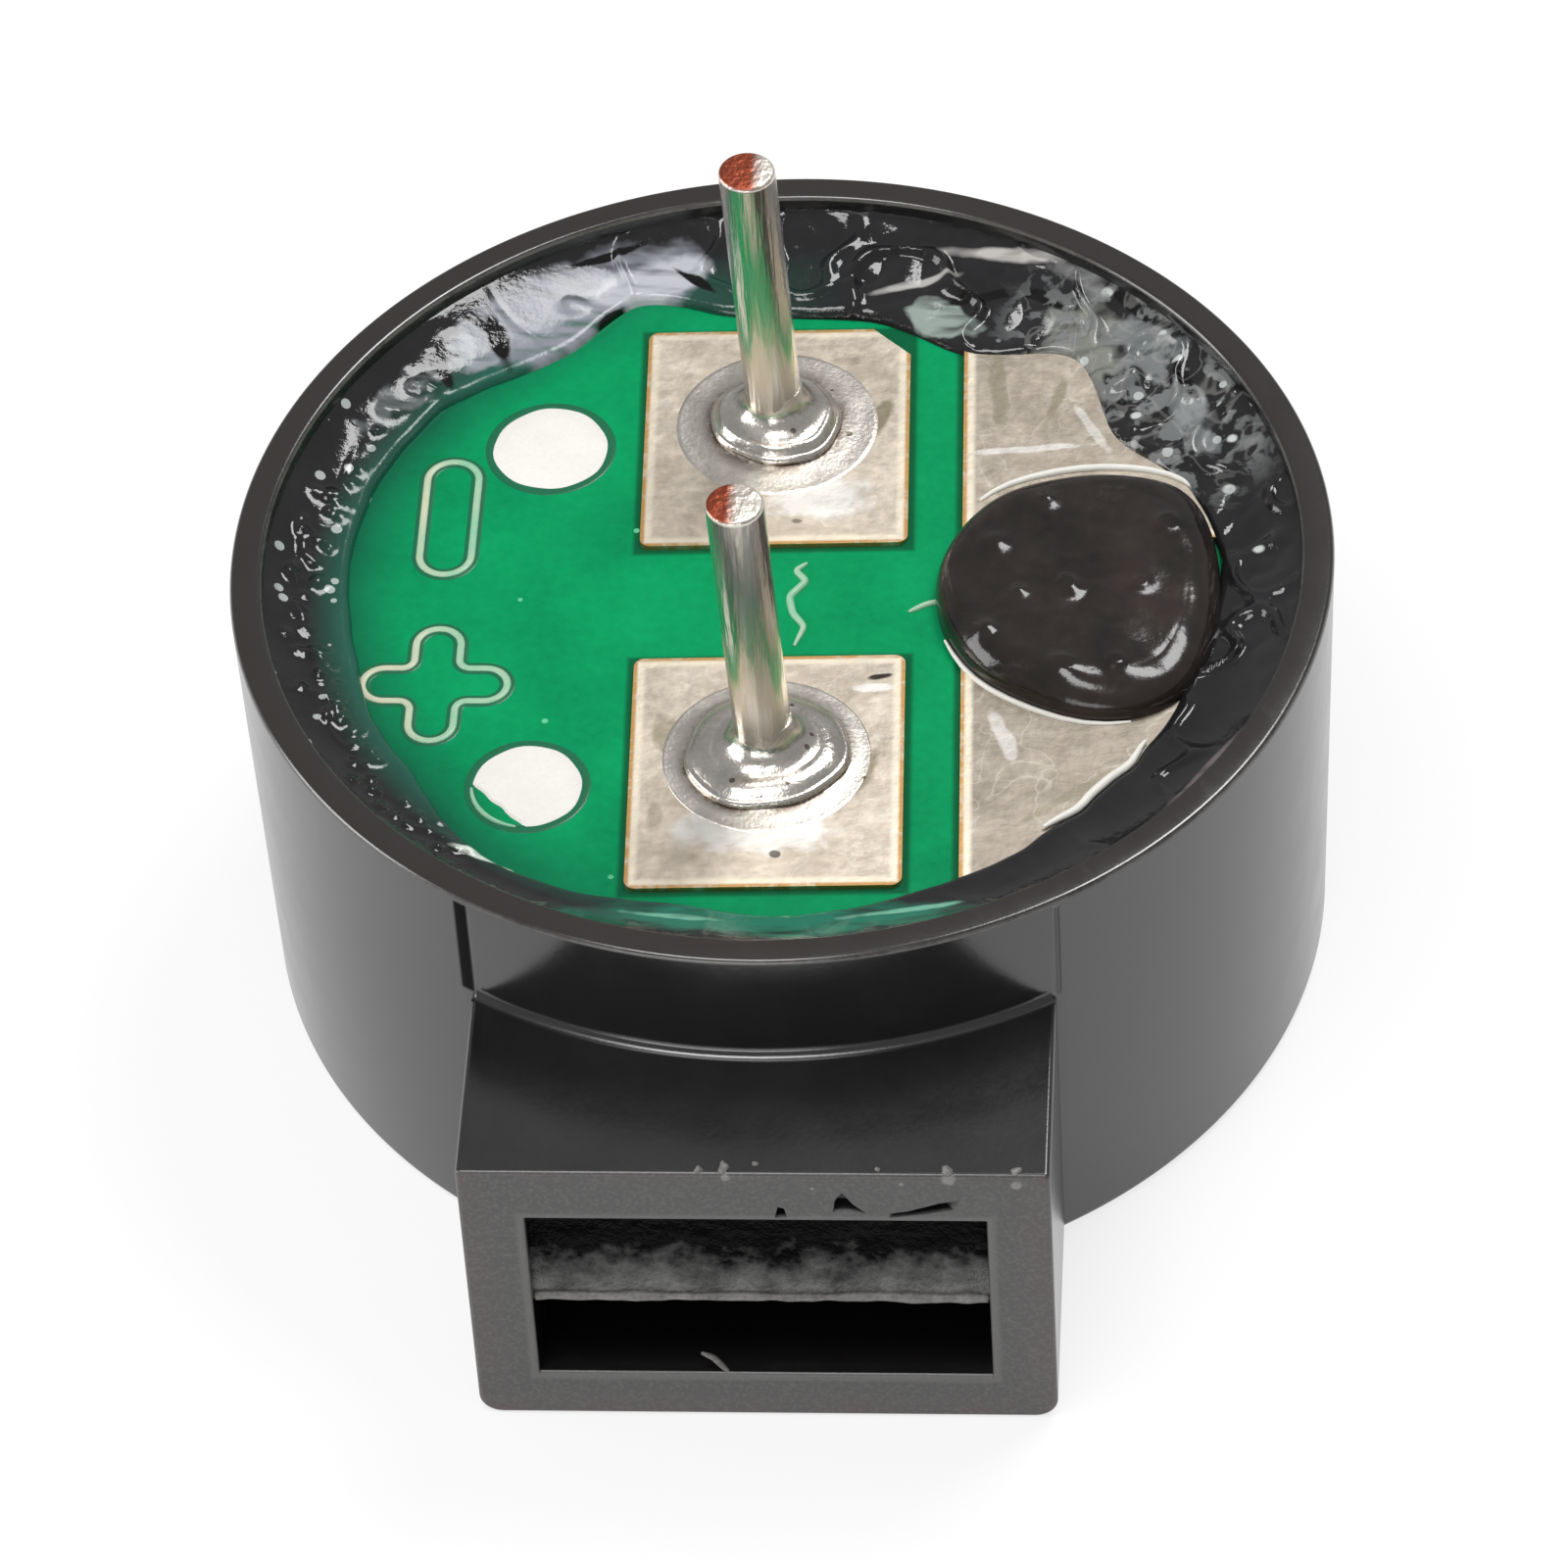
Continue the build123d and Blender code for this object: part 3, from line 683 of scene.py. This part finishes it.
def solderMaterial():
    look = solderLook
    material, place = newMaterial("brightSolder")
    tone, height = useGroup(mottling, place, 3.0, 22.0, 0.35)
    pits = useGroup(specks, place, 5.0, 0.2, 0.15)[0]
    tin = blend(pits, blend(tone, scaled(look["colour"], 0.72), look["colour"]), look["pits"])
    # Brown flux lies along the foot of the collar, and the puddle outside it is duller
    level = less(axes(place)["Z"], board["landTop"])
    flux = times(ramp(calc("ABSOLUTE", less(level, 0.055)), 0.035, 0.015), ramp(tone, 0.2, 0.6), 0.85)
    rough = plus(times(ramp(level, 0.06, 0.04), 0.16), 0.13, times(tone, 0.14))
    relief = less(height, times(pits, 0.5))
    return finished(material, blend(flux, tin, look["flux"]), rough, (relief, 0.45, 0.03), 1.0)


def makeSolder(name, node, side, collar, seed, material):
    s, pin = solderLook, pinLook["radius"]
    # Half a section, from the pin's foot out over the puddle, up the collar's side and in along the flare
    share = np.linspace(0, 1, 16)[1:]
    ease, swing = 1 - np.cos(share * pi / 2), np.sin(share * pi / 2)
    puddle = stacked(s["puddle"] + (collar - s["puddle"]) * share,
                       s["puddleEdge"] + s["puddleRise"] * ease)
    foot = puddle[-1, 1]
    flank = stacked(collar - s["sideLean"] * ease, foot + (s["sideHeight"] - foot) * swing)
    shoulder = np.array([pin + s["shoulder"], s["shoulderHeight"]])
    crown = stacked(0.0, 0.03 * np.sin(share * pi))
    over = flank[-1] + (shoulder - flank[-1]) * share[:, None] + crown
    flare = stacked(pin - 0.01 + (s["shoulder"] + 0.01) * (1 - share) ** 2.6,
                      s["shoulderHeight"] + (s["climb"] - s["shoulderHeight"]) * share ** 1.3)
    profile = np.vstack([[(0, 0), (s["puddle"], 0)], puddle, flank, over, flare, [(0, s["climb"])]])
    profile[:, 1] += board["landTop"]
    points, faces = revolved(profile, 128)
    turn = np.arctan2(points[:, 1], points[:, 0])
    height = points[:, 2] - board["landTop"]
    # Solder is never quite round: each level swells and shrinks a little round the pin
    loose = s["unevenness"] * np.clip(height / 0.05, 0, 1) * np.clip((s["climb"] - height) / 0.3, 0, 1)
    waves = np.sin(2 * turn + seed) + 0.6 * np.sin(3 * turn + 2 * seed) + 0.35 * np.sin(7 * turn + 3 * seed)
    points[:, :2] *= (1 + loose * waves)[:, None]
    points[:, :2] += onBoard(0, side * pinLook["pitch"] / 2)[:2]
    joint = newPiece(name, (points, faces), material, 50)
    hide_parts(node)


brightSolder = solderMaterial()
makeSolder("frontSolder", "front_solder_joint", -1, 0.87, 1.0, brightSolder)
makeSolder("rearSolder", "rear_solder_joint", 1, 0.72, 2.4, brightSolder)
print("solder ready")

# The drop of glue over the coil leads. Its edge is a list of points (x, y) on the board.
glueLook = {
    "middle": (3.3, -0.3), "height": 0.5, "crown": 0.42, "colour": (0.006, 0.005, 0.005),
    "pale": (0.032, 0.022, 0.018),
    # Bubbles under its skin: (x, y) on the board and radius
    "bubbles": [(2.46, 0.27, 0.16), (3.27, -0.48, 0.13), (3.22, -0.36, 0.09), (4.03, -0.43, 0.10),
                (3.18, -1.62, 0.15), (3.76, -1.60, 0.13), (2.34, -1.04, 0.12), (2.7, -0.5, 0.1),
                (4.3, 0.5, 0.12), (3.0, 0.9, 0.1)],
    "edge": [(1.79, -0.05), (2.04, 0.70), (2.60, 1.26), (3.60, 1.49), (4.50, 1.24), (4.86, 0.30),
             (4.80, -1.05), (4.31, -1.91), (3.40, -2.09), (2.40, -1.58), (1.92, -0.85)],
}


def makeGlue():
    g = glueLook
    outline = closedCurve(g["edge"], 28)
    middle = np.array(g["middle"])
    share = np.append(np.linspace(0, 1, 120)[1:] ** 0.8, 1.0)[:, None, None]
    x, y = np.moveaxis(middle + (outline - middle) * share, -1, 0)
    # Height over the distance d from the edge: a quarter circle, then level; the last row drops to the board
    d = (1 - share[..., 0]) * 1.6
    rise = g["height"] - g["crown"] + np.sqrt(g["crown"] ** 2 - np.clip(g["crown"] - d, 0, None) ** 2)
    rise = rise + 0.06 * (ripple(x, y, 4, low=0.4, high=3.2) - 0.9) * np.clip(d / 0.35, 0, 1)
    for bubbleX, bubbleY, size in g["bubbles"]:
        away = np.hypot(x - bubbleX, y - bubbleY) / size
        rise = rise + 0.05 * np.exp(-away ** 2)
    z = board["top"] + np.clip(rise, 0.0, g["height"])
    z[-1] = board["top"]
    poles = [onBoard(*middle, z[0].mean()), onBoard(*middle, board["top"])]
    material = plainMaterial("blackGlue", g["colour"], g["pale"], (0.09, 0.12), (1.1, 5.0, 0.3), (0.3, 0.06))
    drop = newPiece("glueDrop", joined(onBoard(x, y, z), poles), material, 70)
    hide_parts("lead_cover")


makeGlue()
print("glue ready")

# Sealing compound: poured between the board and the wall, where it crept up and wrinkled.
# The edge is how far the bare board reaches, as (degrees from +X, radius).
sealLook = {
    "bore": 5.65, "edgeHeight": 0.12, "wallHeight": 0.42, "fold": 0.10, "blisters": 90,
    "colour": (0.010, 0.010, 0.011), "film": (0.010, 0.110, 0.072), "gapBlack": (0.002, 0.002, 0.002),
    "glint": (0.55, 0.58, 0.56), "cloud": (0.19, 0.20, 0.20), "wrinkleSheen": (0.40, 0.39, 0.37),
    "glintSpeck": (0.50, 0.54, 0.52),
    # Patches: (x, y), half widths, turn, raggedness, softness, colour, share; later ones lie on top
    "reflectionAndFilmPatches": [
        # The entries at the far left are a painted reflection, and the one at (4.60, -3.05) a painted
        # highlight line
        ((-2.48, 4.28), (1.65, 0.64), 32, 0.25, 0.25, (0.26, 0.27, 0.31), 1.0),
        ((-1.75, 4.72), (0.80, 0.27), 22, 0.30, 0.25, (0.50, 0.51, 0.55), 0.9),
        ((-3.55, 3.60), (0.40, 0.34), 40, 0.6, 0.2, (0.30, 0.32, 0.35), 0.9),
        ((-4.40, 2.80), (0.60, 0.25), 58, 0.9, 0.3, (0.16, 0.18, 0.18), 0.8),
        ((1.55, 4.17), (0.52, 0.25), -22, 0.4, 0.15, (0.27, 0.33, 0.30), 1.0),
        ((1.30, 4.66), (0.60, 0.07), 14, 0.3, 0.4, (0.40, 0.39, 0.37), 1.0),
        ((2.35, 4.96), (0.80, 0.10), -10, 0.3, 0.4, (0.46, 0.44, 0.42), 1.0),
        ((3.20, 4.55), (0.45, 0.12), -32, 0.4, 0.4, (0.25, 0.25, 0.25), 0.9),
        ((3.15, 3.50), (0.55, 0.80), 12, 0.6, 0.4, (0.24, 0.25, 0.22), 0.9),
        ((3.95, 3.50), (0.50, 0.34), -45, 0.8, 0.3, (0.20, 0.22, 0.22), 0.9),
        ((4.45, 2.55), (0.20, 0.55), 25, 0.8, 0.3, (0.26, 0.28, 0.28), 0.9),
        ((4.60, -3.05), (0.95, 0.07), 55, 0.3, 0.5, (0.17, 0.14, 0.14), 0.8),
        ((0.20, -4.98), (2.60, 0.34), 0, 0.2, 0.4, (0.010, 0.17, 0.105), 0.95),
        ((0.10, -4.78), (0.28, 0.10), -20, 0.6, 0.4, (0.45, 0.55, 0.30), 0.9),
        ((-0.95, -4.95), (0.60, 0.05), -6, 0.5, 0.4, (0.20, 0.50, 0.36), 0.8),
        ((1.50, -4.85), (0.70, 0.05), 8, 0.5, 0.4, (0.20, 0.50, 0.36), 0.8),
        ((-2.96, -4.08), (0.46, 0.07), -17, 0.3, 0.4, (0.66, 0.74, 0.66), 1.0)],
    "glints": [(4.07, 3.64), (4.24, 3.29), (4.37, 2.70), (3.80, 2.59), (3.44, 4.35), (4.86, 2.13),
               (4.84, 1.44), (5.17, 0.47)],
    # Black gaps of painted shade over them, where the painted reflections break along folds: (x, y), half
    # widths and turn
    "reflectionGaps": [
        ((-2.14, 4.25), (0.27, 0.05), 45), ((-1.72, 4.34), (0.32, 0.05), -20),
        ((-3.38, 3.78), (0.12, 0.45), 18), ((-3.62, 3.95), (0.07, 0.30), 60),
        ((-3.95, 3.25), (0.09, 0.26), 20), ((-2.25, 4.98), (0.60, 0.05), 25),
        ((-1.2, 4.75), (0.35, 0.05), -35), ((2.0, 4.45), (0.5, 0.07), 10), ((2.75, 4.40), (0.45, 0.09), -25),
        ((3.75, 4.10), (0.55, 0.07), -48), ((4.30, 3.05), (0.10, 0.50), 28),
        ((3.55, 2.95), (0.10, 0.40), 22)],
    # The two stretches with painted glints: centre, half widths and turn
    "farRight": ((3.9, 3.1), (1.7, 2.2), 35), "left": ((-5.0, -0.2), (0.75, 4.2), 0),
    "edge": [(0, 4.74), (18, 4.66), (33, 4.26), (49, 4.72), (62, 4.16), (80, 4.30), (99, 4.36),
             (112, 4.86), (126, 4.50), (145, 4.82), (170, 4.82), (198, 4.72), (216, 4.74), (235, 5.02),
             (258, 4.80), (280, 4.84), (305, 4.72), (332, 4.66)],
}


def sealMaterial():
    look = sealLook
    material, place = newMaterial("sealingResin")
    tone, height = useGroup(mottling, place, 1.1, 7.0, 0.3)
    x, y, z = axes(place)
    colour = blend(tone, look["colour"], scaled(look["colour"], 1.8))
    # Thin resin along the left lets the green board show through
    filmAndSheen = times(ramp(fromAxis(x, y), 5.20, 4.80), ramp(x, 0.5, -2.5))
    colour = blend(times(filmAndSheen, 0.9), colour, look["film"])
    # Pale areas: a painted reflection at the far left, a painted highlight line at the lower right, and thin,
    # cloudy resin elsewhere, partly painted reflection at the far right
    streaky = noise(mapped(place, rotation=(0, 0, -0.55), scale=(1.3, 6.0, 1.0)), 1.0)
    uneven = ramp(streaky, 0.22, 0.52)
    for at, size, turn, ragged, soft, tint, share in look["reflectionAndFilmPatches"]:
        mask = times(spot(place, at, size, turn, ragged, 2.2, soft), share, uneven)
        colour = blend(mask, colour, tint)
        filmAndSheen = calc("MAXIMUM", filmAndSheen, mask)
    # Painted shade: black gaps break up the painted reflections
    for at, size, turn in look["reflectionGaps"]:
        mask = spot(place, at, size, turn, 0.35, 3.0, 0.3)
        colour = blend(mask, colour, look["gapBlack"])
        filmAndSheen = times(filmAndSheen, less(1.0, mask))
    for at in look["glints"]:
        colour = blend(spot(place, at, (0.08, 0.065), 0, 0.3, 3.0, 0.4), colour, look["glint"])
    # Cloudy resin at the far right, partly painted reflection, with painted highlights along its wrinkles,
    # and painted glints as pale specks there and at the left
    farRight, left = (spot(place, *look[zone], 0.2, 1.5, 0.4) for zone in ("farRight", "left"))
    clouds = ramp(noise(place, 4.2, 4.0, distortion=0.3), 0.51, 0.57)
    colour = blend(times(clouds, farRight, 0.85), colour, look["cloud"])
    colour = blend(times(useGroup(veins, place, 1.5, 0.030)[0], farRight, 0.22), colour, look["wrinkleSheen"])
    for zone, scale, size, amount in ((farRight, 3.2, 0.20, 0.30), (left, 3.8, 0.24, 0.48)):
        dots = useGroup(specks, place, scale, size, amount)[0]
        colour = blend(times(dots, zone, 0.85), colour, look["glintSpeck"])
    rough = plus(times(filmAndSheen, 0.18), 0.07)
    return finished(material, colour, rough, (plus(height, times(streaky, 0.1)), 0.3, 0.06))


def makeSeal():
    s = sealLook
    given = np.array(s["edge"], float)
    turn = np.radians(given[:, 0])
    inner = closedCurve(stacked(given[:, 1] * np.cos(turn), given[:, 1] * np.sin(turn)), 60)
    innerX, innerY = inner.T
    angle = np.arctan2(innerY, innerX)
    reach = np.hypot(innerX, innerY) + 0.04 * ripple(innerX, innerY, 5, low=0.8, high=4.0)
    # The edge is ragged where it crosses the front wire land, at -40 degrees
    ragged = np.exp(-((np.degrees(angle) + 40) / 12) ** 2)
    reach = reach + 0.09 * ripple(innerX, innerY, 23, waves=16, low=1.8, high=7.0) * ragged
    # Outwards from the bare board: share runs from 0 at its edge to 1 at the wall
    share = np.linspace(0, 1, 64)[None, :]
    ring = stacked(np.cos(angle), np.sin(angle))
    radius = reach[:, None] + (s["bore"] - reach[:, None]) * share
    x, y = radius * ring[:, :1], radius * ring[:, 1:]
    lip = np.clip(share / 0.12, 0, 1)
    edge = s["edgeHeight"] * np.sqrt(lip * (2 - lip))
    climb = (s["wallHeight"] - s["edgeHeight"]) * share ** 2.2
    # Folds lie where a slow wave crosses zero; they are strong at the far right and fade to the left
    fold = np.exp(-(ripple(x, y, 11, waves=14, low=0.7, high=2.8) / 0.13) ** 2)
    far = x * 0.75 + y * 0.65
    relief = s["fold"] * fold * np.clip(far / 3.0, 0.1, 1.0)
    crackle = np.abs(ripple(x, y, 19, waves=18, low=1.5, high=5.0))
    relief = relief + 0.07 * crackle * np.clip((far - 2.4) / 1.2, 0, 1)
    relief = relief + 0.030 * (ripple(x, y, 7, waves=16, low=0.5, high=2.2) - 0.2)
    # Blisters along the left wall: round swellings at seeded places
    chance = np.random.default_rng(21)
    for blister in range(s["blisters"]):
        at, out = radians(chance.uniform(142, 232)), chance.uniform(4.98, 5.42)
        away = np.hypot(x - out * cos(at), y - out * sin(at)) / chance.uniform(0.05, 0.10)
        relief = relief + 0.045 * np.exp(-away ** 2)
    calm = np.sin(share * pi) ** 0.6
    z = board["top"] + np.clip(edge + climb + relief * calm, 0.004, s["wallHeight"])
    z[:, 0] = board["top"]
    # Beside the board it fills the gap down to the ledge, and its underside lies on the board
    section = [stacked(x, y, z)]
    ledge, rim, shift = caseLook["ledge"], board["rim"], board["shift"]
    for size, aside, level in ((s["bore"], 0.0, ledge), (rim, shift, ledge), (rim, shift, board["top"])):
        foot = ring * size + [aside, 0]
        section.append(stacked(*foot.T, level)[:, None])
    section = np.concatenate(section, axis=1)
    shape = section.reshape(-1, 3), gridFaces(*section.shape[:2], wrapRows=True).tolist()
    seal = newPiece("sealRing", shape, sealMaterial(), 75)
    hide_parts("sealing_compound")
    return ring * reach[:, None]


sealEdge = makeSeal()
print("seal ready")

# Printing on the board: two dots of white ink, and the outlines of a minus and a plus.
# A dot is (x, y, radius), the minus (x, y, half width, half length), the plus (x, y, arm along x,
# arm along y, half width).
markLook = {"ink": (0.86, 0.84, 0.78), "cream": (0.60, 0.62, 0.45), "mint": (0.18, 0.53, 0.34),
            "shade": (0.003, 0.140, 0.060), "inkHeight": 0.02, "lift": 0.001,
            # Width and height of the lines, and of the painted shadows under them and round the dots
            "line": (0.085, 0.022), "lineShade": (0.17, 0.006), "dotShade": (0.12, 0.006),
            "upperDot": (-2.69, 2.20, 0.645), "lowerDot": (-2.60, -2.95, 0.60),
            "minus": (-3.74, 1.11, 0.285, 0.875), "plus": (-3.71, -1.44, 0.79, 0.84, 0.245)}
# Threads of dried flux on the board, as (x, y)
threads = {"fluxThread": [(0.24, 0.42), (0.12, 0.30), (0.25, 0.14), (0.07, -0.10), (0.12, -0.35),
                          (0.26, -0.55), (0.16, -0.84)],
           "fluxStreak": [(1.38, -0.32), (1.58, -0.20), (1.80, -0.13)],
           "lacquerCurl": [(-3.34, -3.96), (-3.02, -4.12), (-2.66, -4.22)]}


def inkMaterial(name, colour, roughness):
    return plainMaterial(name, scaled(colour, 0.9), colour, (roughness, 0.0), (3.0, 24.0, 0.5), (0.3, 0.01))


def lineMaterial():
    # Painted light: cream on the left, which faces the light, mint on the right, mottled in between
    material, place = newMaterial("paleLine")
    tone, height = useGroup(mottling, place, 1.4, 12.0, 0.3)
    toneAndLeftLight = plus(times(tone, 0.7), ramp(axes(place)["X"], -3.6, -4.6))
    return finished(material, blend(toneAndLeftLight, markLook["mint"], markLook["cream"]), 0.35, (height, 0.3, 0.01))


def makeDot(name, place, material, chipped):
    # A flat disc of ink with a bevelled edge, whose radius wavers with the angle t
    x0, y0, r = place
    t = np.linspace(0, 2 * pi, 160, endpoint=False)
    reach = r * (1 + 0.012 * np.sin(3 * t + x0) + 0.008 * np.sin(8 * t))
    if chipped:
        # Ink is missing beyond a straight break across the dot's lower left
        toBreak = np.cos(t - radians(224))
        broken = 0.68 * r / np.maximum(toBreak, 0.05) + 0.01 * np.sin(9 * t)
        reach = np.where(toBreak > 0.05, np.minimum(reach, broken), reach)
    share = np.array([0.5, 0.93, 1.0])[:, None]
    low, high = board["top"] + markLook["lift"], board["top"] + markLook["lift"] + markLook["inkHeight"]
    z = np.array([high, high, low])[:, None]
    rings = stacked(x0 + reach * share * np.cos(t), y0 + reach * share * np.sin(t), z)
    shape = joined(rings, [(x0, y0, high), (x0, y0, low)], turned=True)
    newPiece(name, shape, material)


def raisedLine(name, outline, material, size):
    # A low bead along a closed path: its section is half an ellipse, square to the path in the board's plane
    along = unit(np.roll(outline, -1, axis=0) - np.roll(outline, 1, axis=0))
    across = stacked(-along[:, 1], along[:, 0])
    turn = np.linspace(0, pi, 9)
    flat = outline[:, None, :] + across[:, None, :] * (size[0] / 2 * np.cos(turn))[None, :, None]
    z = board["top"] + markLook["lift"] + size[1] * np.sin(turn)
    points = stacked(flat[..., 0], flat[..., 1], z).reshape(-1, 3)
    faces = gridFaces(len(outline), len(turn), wrapRows=True).tolist()
    newPiece(name, (points, faces), material)


def minusPath():
    x0, y0, halfX, halfY = markLook["minus"]
    straight = halfY - halfX
    return np.vstack([arcPoints((x0, y0 + straight), halfX, 0, 180, 24),
                      arcPoints((x0, y0 - straight), halfX, 180, 360, 24)])


def plusPath(inward=0.13):
    # A cross whose four arms end round and whose inner corners are rounded too
    x0, y0, armX, armY, half = markLook["plus"]
    path = []
    for turn, arm in ((0, armX), (pi / 2, armY), (pi, armX), (3 * pi / 2, armY)):
        x, y = np.vstack([arcPoints((arm - half, 0), half, -90, 90, 16),
                          arcPoints((half + inward, half + inward), inward, 270, 180, 6)]).T
        turned = x * cos(turn) - y * sin(turn), x * sin(turn) + y * cos(turn)
        path.append(stacked(*turned) + [x0, y0])
    return np.vstack(path)


whiteInk = inkMaterial("whiteInk", markLook["ink"], 0.5)
# Painted shadow: a dark green bead under each line and round each dot
shade = inkMaterial("lacquerShadow", markLook["shade"], 0.3)
paleLine = lineMaterial()
for name, key, chipped in (("upperInkDot", "upperDot", False), ("lowerInkDot", "lowerDot", True)):
    place = markLook[key]
    makeDot(name, place, whiteInk, chipped)
    circle = arcPoints(place, place[2] + 0.02, 0, 360, 120)[:-1]
    raisedLine(name + "Shade", circle, shade, markLook["dotShade"])
chipX, chipY, chipRadius = markLook["lowerDot"]
chipRim = [(*point, board["top"] + 0.01) for point in arcPoints((chipX, chipY), chipRadius, 183, 262)]
threadAlong("lowerInkDotRim", chipRim, 0.03, paleLine)
for name, path in (("minusOutline", minusPath()), ("plusOutline", plusPath())):
    raisedLine(name, path, paleLine, markLook["line"])
    raisedLine(name + "Shade", path, shade, markLook["lineShade"])

# Pale threads: two painted highlights along the glue's edge, a white lip of resin over the front land, and
# dried flux
glueEdge = closedCurve(glueLook["edge"], 4)
glueMiddle = np.array(glueLook["middle"])
hugging = onBoard(*(glueMiddle + (glueEdge - glueMiddle) * 1.02).T)[:, :2]
edgeTurn = np.degrees(np.arctan2(sealEdge[:, 1], sealEdge[:, 0])) % 360
resinLip = sealEdge[(edgeTurn > 309) & (edgeTurn < 331)][::3] * 0.995
for name, corners, radius, level, material in (
        ("glueEdgeRearHighlight", hugging[6:18] + [0, 0.24], 0.045, board["landTop"], whiteInk),
        ("glueEdgeFrontHighlight", hugging[30:41], 0.035, board["landTop"], whiteInk),
        ("resinLip", resinLip, 0.05, board["landTop"] + 0.03, whiteInk),
        ("fluxThread", threads["fluxThread"], 0.045, board["top"], paleLine),
        ("fluxStreak", threads["fluxStreak"], 0.035, board["top"], paleLine),
        ("lacquerCurl", threads["lacquerCurl"], 0.06, board["top"], paleLine)):
    threadAlong(name, [(*corner, level + 0.005) for corner in corners], radius, material)
print("printing ready")


# Pieces inside the buzzer get their metals and plastics too, though nothing opens the case
def innerMaterial(name, colour, metallic, roughness, coarse, fine):
    grain, bump = (coarse, fine, 0.5), (0.4, 0.02)
    return plainMaterial(name, scaled(colour, 0.75), colour, (roughness, 0.12), grain, bump, metallic)


springSteel = innerMaterial("springSteel", (0.55, 0.55, 0.56), 1.0, 0.25, 2.0, 30.0)
softIron = innerMaterial("softIron", (0.50, 0.50, 0.50), 1.0, 0.35, 2.0, 25.0)
moulding = innerMaterial("innerMoulding", (0.08, 0.08, 0.08), 0.0, 0.5, 2.0, 20.0)
ferrite = innerMaterial("sinteredFerrite", (0.08, 0.08, 0.09), 0.0, 0.6, 3.0, 30.0)
copper = innerMaterial("enamelledCopper", (0.55, 0.22, 0.10), 1.0, 0.3, 2.0, 40.0)
for nodeName, material in (
        ("diaphragm", springSteel), ("armature_disc", softIron), ("yoke_plate", softIron),
        ("pole_core", softIron), ("support_ring", moulding), ("ring_magnet", ferrite), ("coil", copper),
        ("front_coil_lead", copper), ("rear_coil_lead", copper), ("front_wire_joint", brightSolder),
        ("rear_wire_joint", brightSolder)):
    dress(nodeName, material)
print("inner pieces ready")

# Studio: a pale floor, soft light all round, and the camera. Distances in millimetres, angles in degrees.
# A light has its name, its place, its width and height, and its power.
studio = {
    "floorSize": 900.0, "floorLevel": -0.01, "floorColour": (0.86, 0.86, 0.86), "glow": 1.07,
    "glowShare": 0.72, "worldLight": 0.34, "lightAim": (0, 0, 3),
    "lights": [
        ("highSoftbox", (33, 40, 98), (45, 35), 0.055), ("frontSoftbox", (-15, -36, 118), (50, 35), 0.048),
        ("lowSoftbox", (-25, -130, 28), (85, 30), 0.030), ("leftSoftbox", (-110, -10, 40), (60, 60), 0.060)],
    "azimuth": 5.482, "elevation": 46.568, "roll": -3.748, "aim": (-0.015, -1.197, 3.0), "distance": 94.418,
    "lens": 197.75,
}


def makeFloor():
    half, level = studio["floorSize"] / 2, studio["floorLevel"]
    points = [(-half, -half, level), (half, -half, level), (half, half, level), (-half, half, level)]
    material = bpy.data.materials.new("studioPaper")
    material.use_nodes = True
    tree = material.node_tree
    tree.nodes.clear()
    paper = addNode(tree, "ShaderNodeBsdfPrincipled", {"Base Color": studio["floorColour"], "Roughness": 0.9})
    glow = addNode(tree, "ShaderNodeEmission", {"Color": (1, 1, 1), "Strength": studio["glow"]})
    rays = addNode(tree, "ShaderNodeLightPath").outputs
    seen = calc("MAXIMUM", rays["Is Camera Ray"], rays["Is Glossy Ray"], rays["Is Transmission Ray"])
    inputs = {0: times(seen, studio["glowShare"]), 1: paper.outputs[0], 2: glow.outputs[0]}
    mixed = addNode(tree, "ShaderNodeMixShader", inputs)
    addNode(tree, "ShaderNodeOutputMaterial", {"Surface": mixed.outputs[0]})
    newPiece("studioFloor", (points, [(0, 1, 2, 3)]), material, ride=False)


def makeLight(name, place, size, power):
    lamp = bpy.data.lights.new(name, "AREA")
    lamp.shape, lamp.size, lamp.size_y, lamp.energy = "RECTANGLE", size[0] * mm, size[1] * mm, power
    holder = bpy.data.objects.new(name, lamp)
    bpy.context.scene.collection.objects.link(holder)
    start, end = Vector(place) * mm, Vector(studio["lightAim"]) * mm
    turn = (end - start).to_track_quat("-Z", "Y").to_matrix().to_4x4()
    holder.matrix_world = Matrix.Translation(start) @ turn


def makeWorld():
    world = bpy.data.worlds.new("studioAir")
    bpy.context.scene.world = world
    world.use_nodes = True
    tree = world.node_tree
    tree.nodes.clear()
    soft = addNode(tree, "ShaderNodeBackground", {"Color": (1, 1, 1), "Strength": studio["worldLight"]})
    addNode(tree, "ShaderNodeOutputWorld", {"Surface": soft.outputs[0]})


def makeCamera():
    a, e, r = (radians(studio[k]) for k in ("azimuth", "elevation", "roll"))
    back = Vector((sin(a) * cos(e), -cos(a) * cos(e), sin(e)))
    level = Vector((cos(a), sin(a), 0))
    right = cos(r) * level + sin(r) * level.cross(-back)
    lens = bpy.data.cameras.new("studioCamera")
    lens.lens, lens.sensor_width = studio["lens"], 36
    lens.clip_start, lens.clip_end = 0.001, 10
    camera = bpy.data.objects.new("studioCamera", lens)
    bpy.context.scene.collection.objects.link(camera)
    turn = Matrix((right, back.cross(right), back)).transposed().to_4x4()
    camera.matrix_world = Matrix.Translation((Vector(studio["aim"]) + back * studio["distance"]) * mm) @ turn
    bpy.context.scene.camera = camera


makeFloor()
makeWorld()
for name, place, size, power in studio["lights"]:
    makeLight(name, place, size, power)
makeCamera()
bpy.context.scene.view_settings.view_transform = "Standard"
print("studio ready")
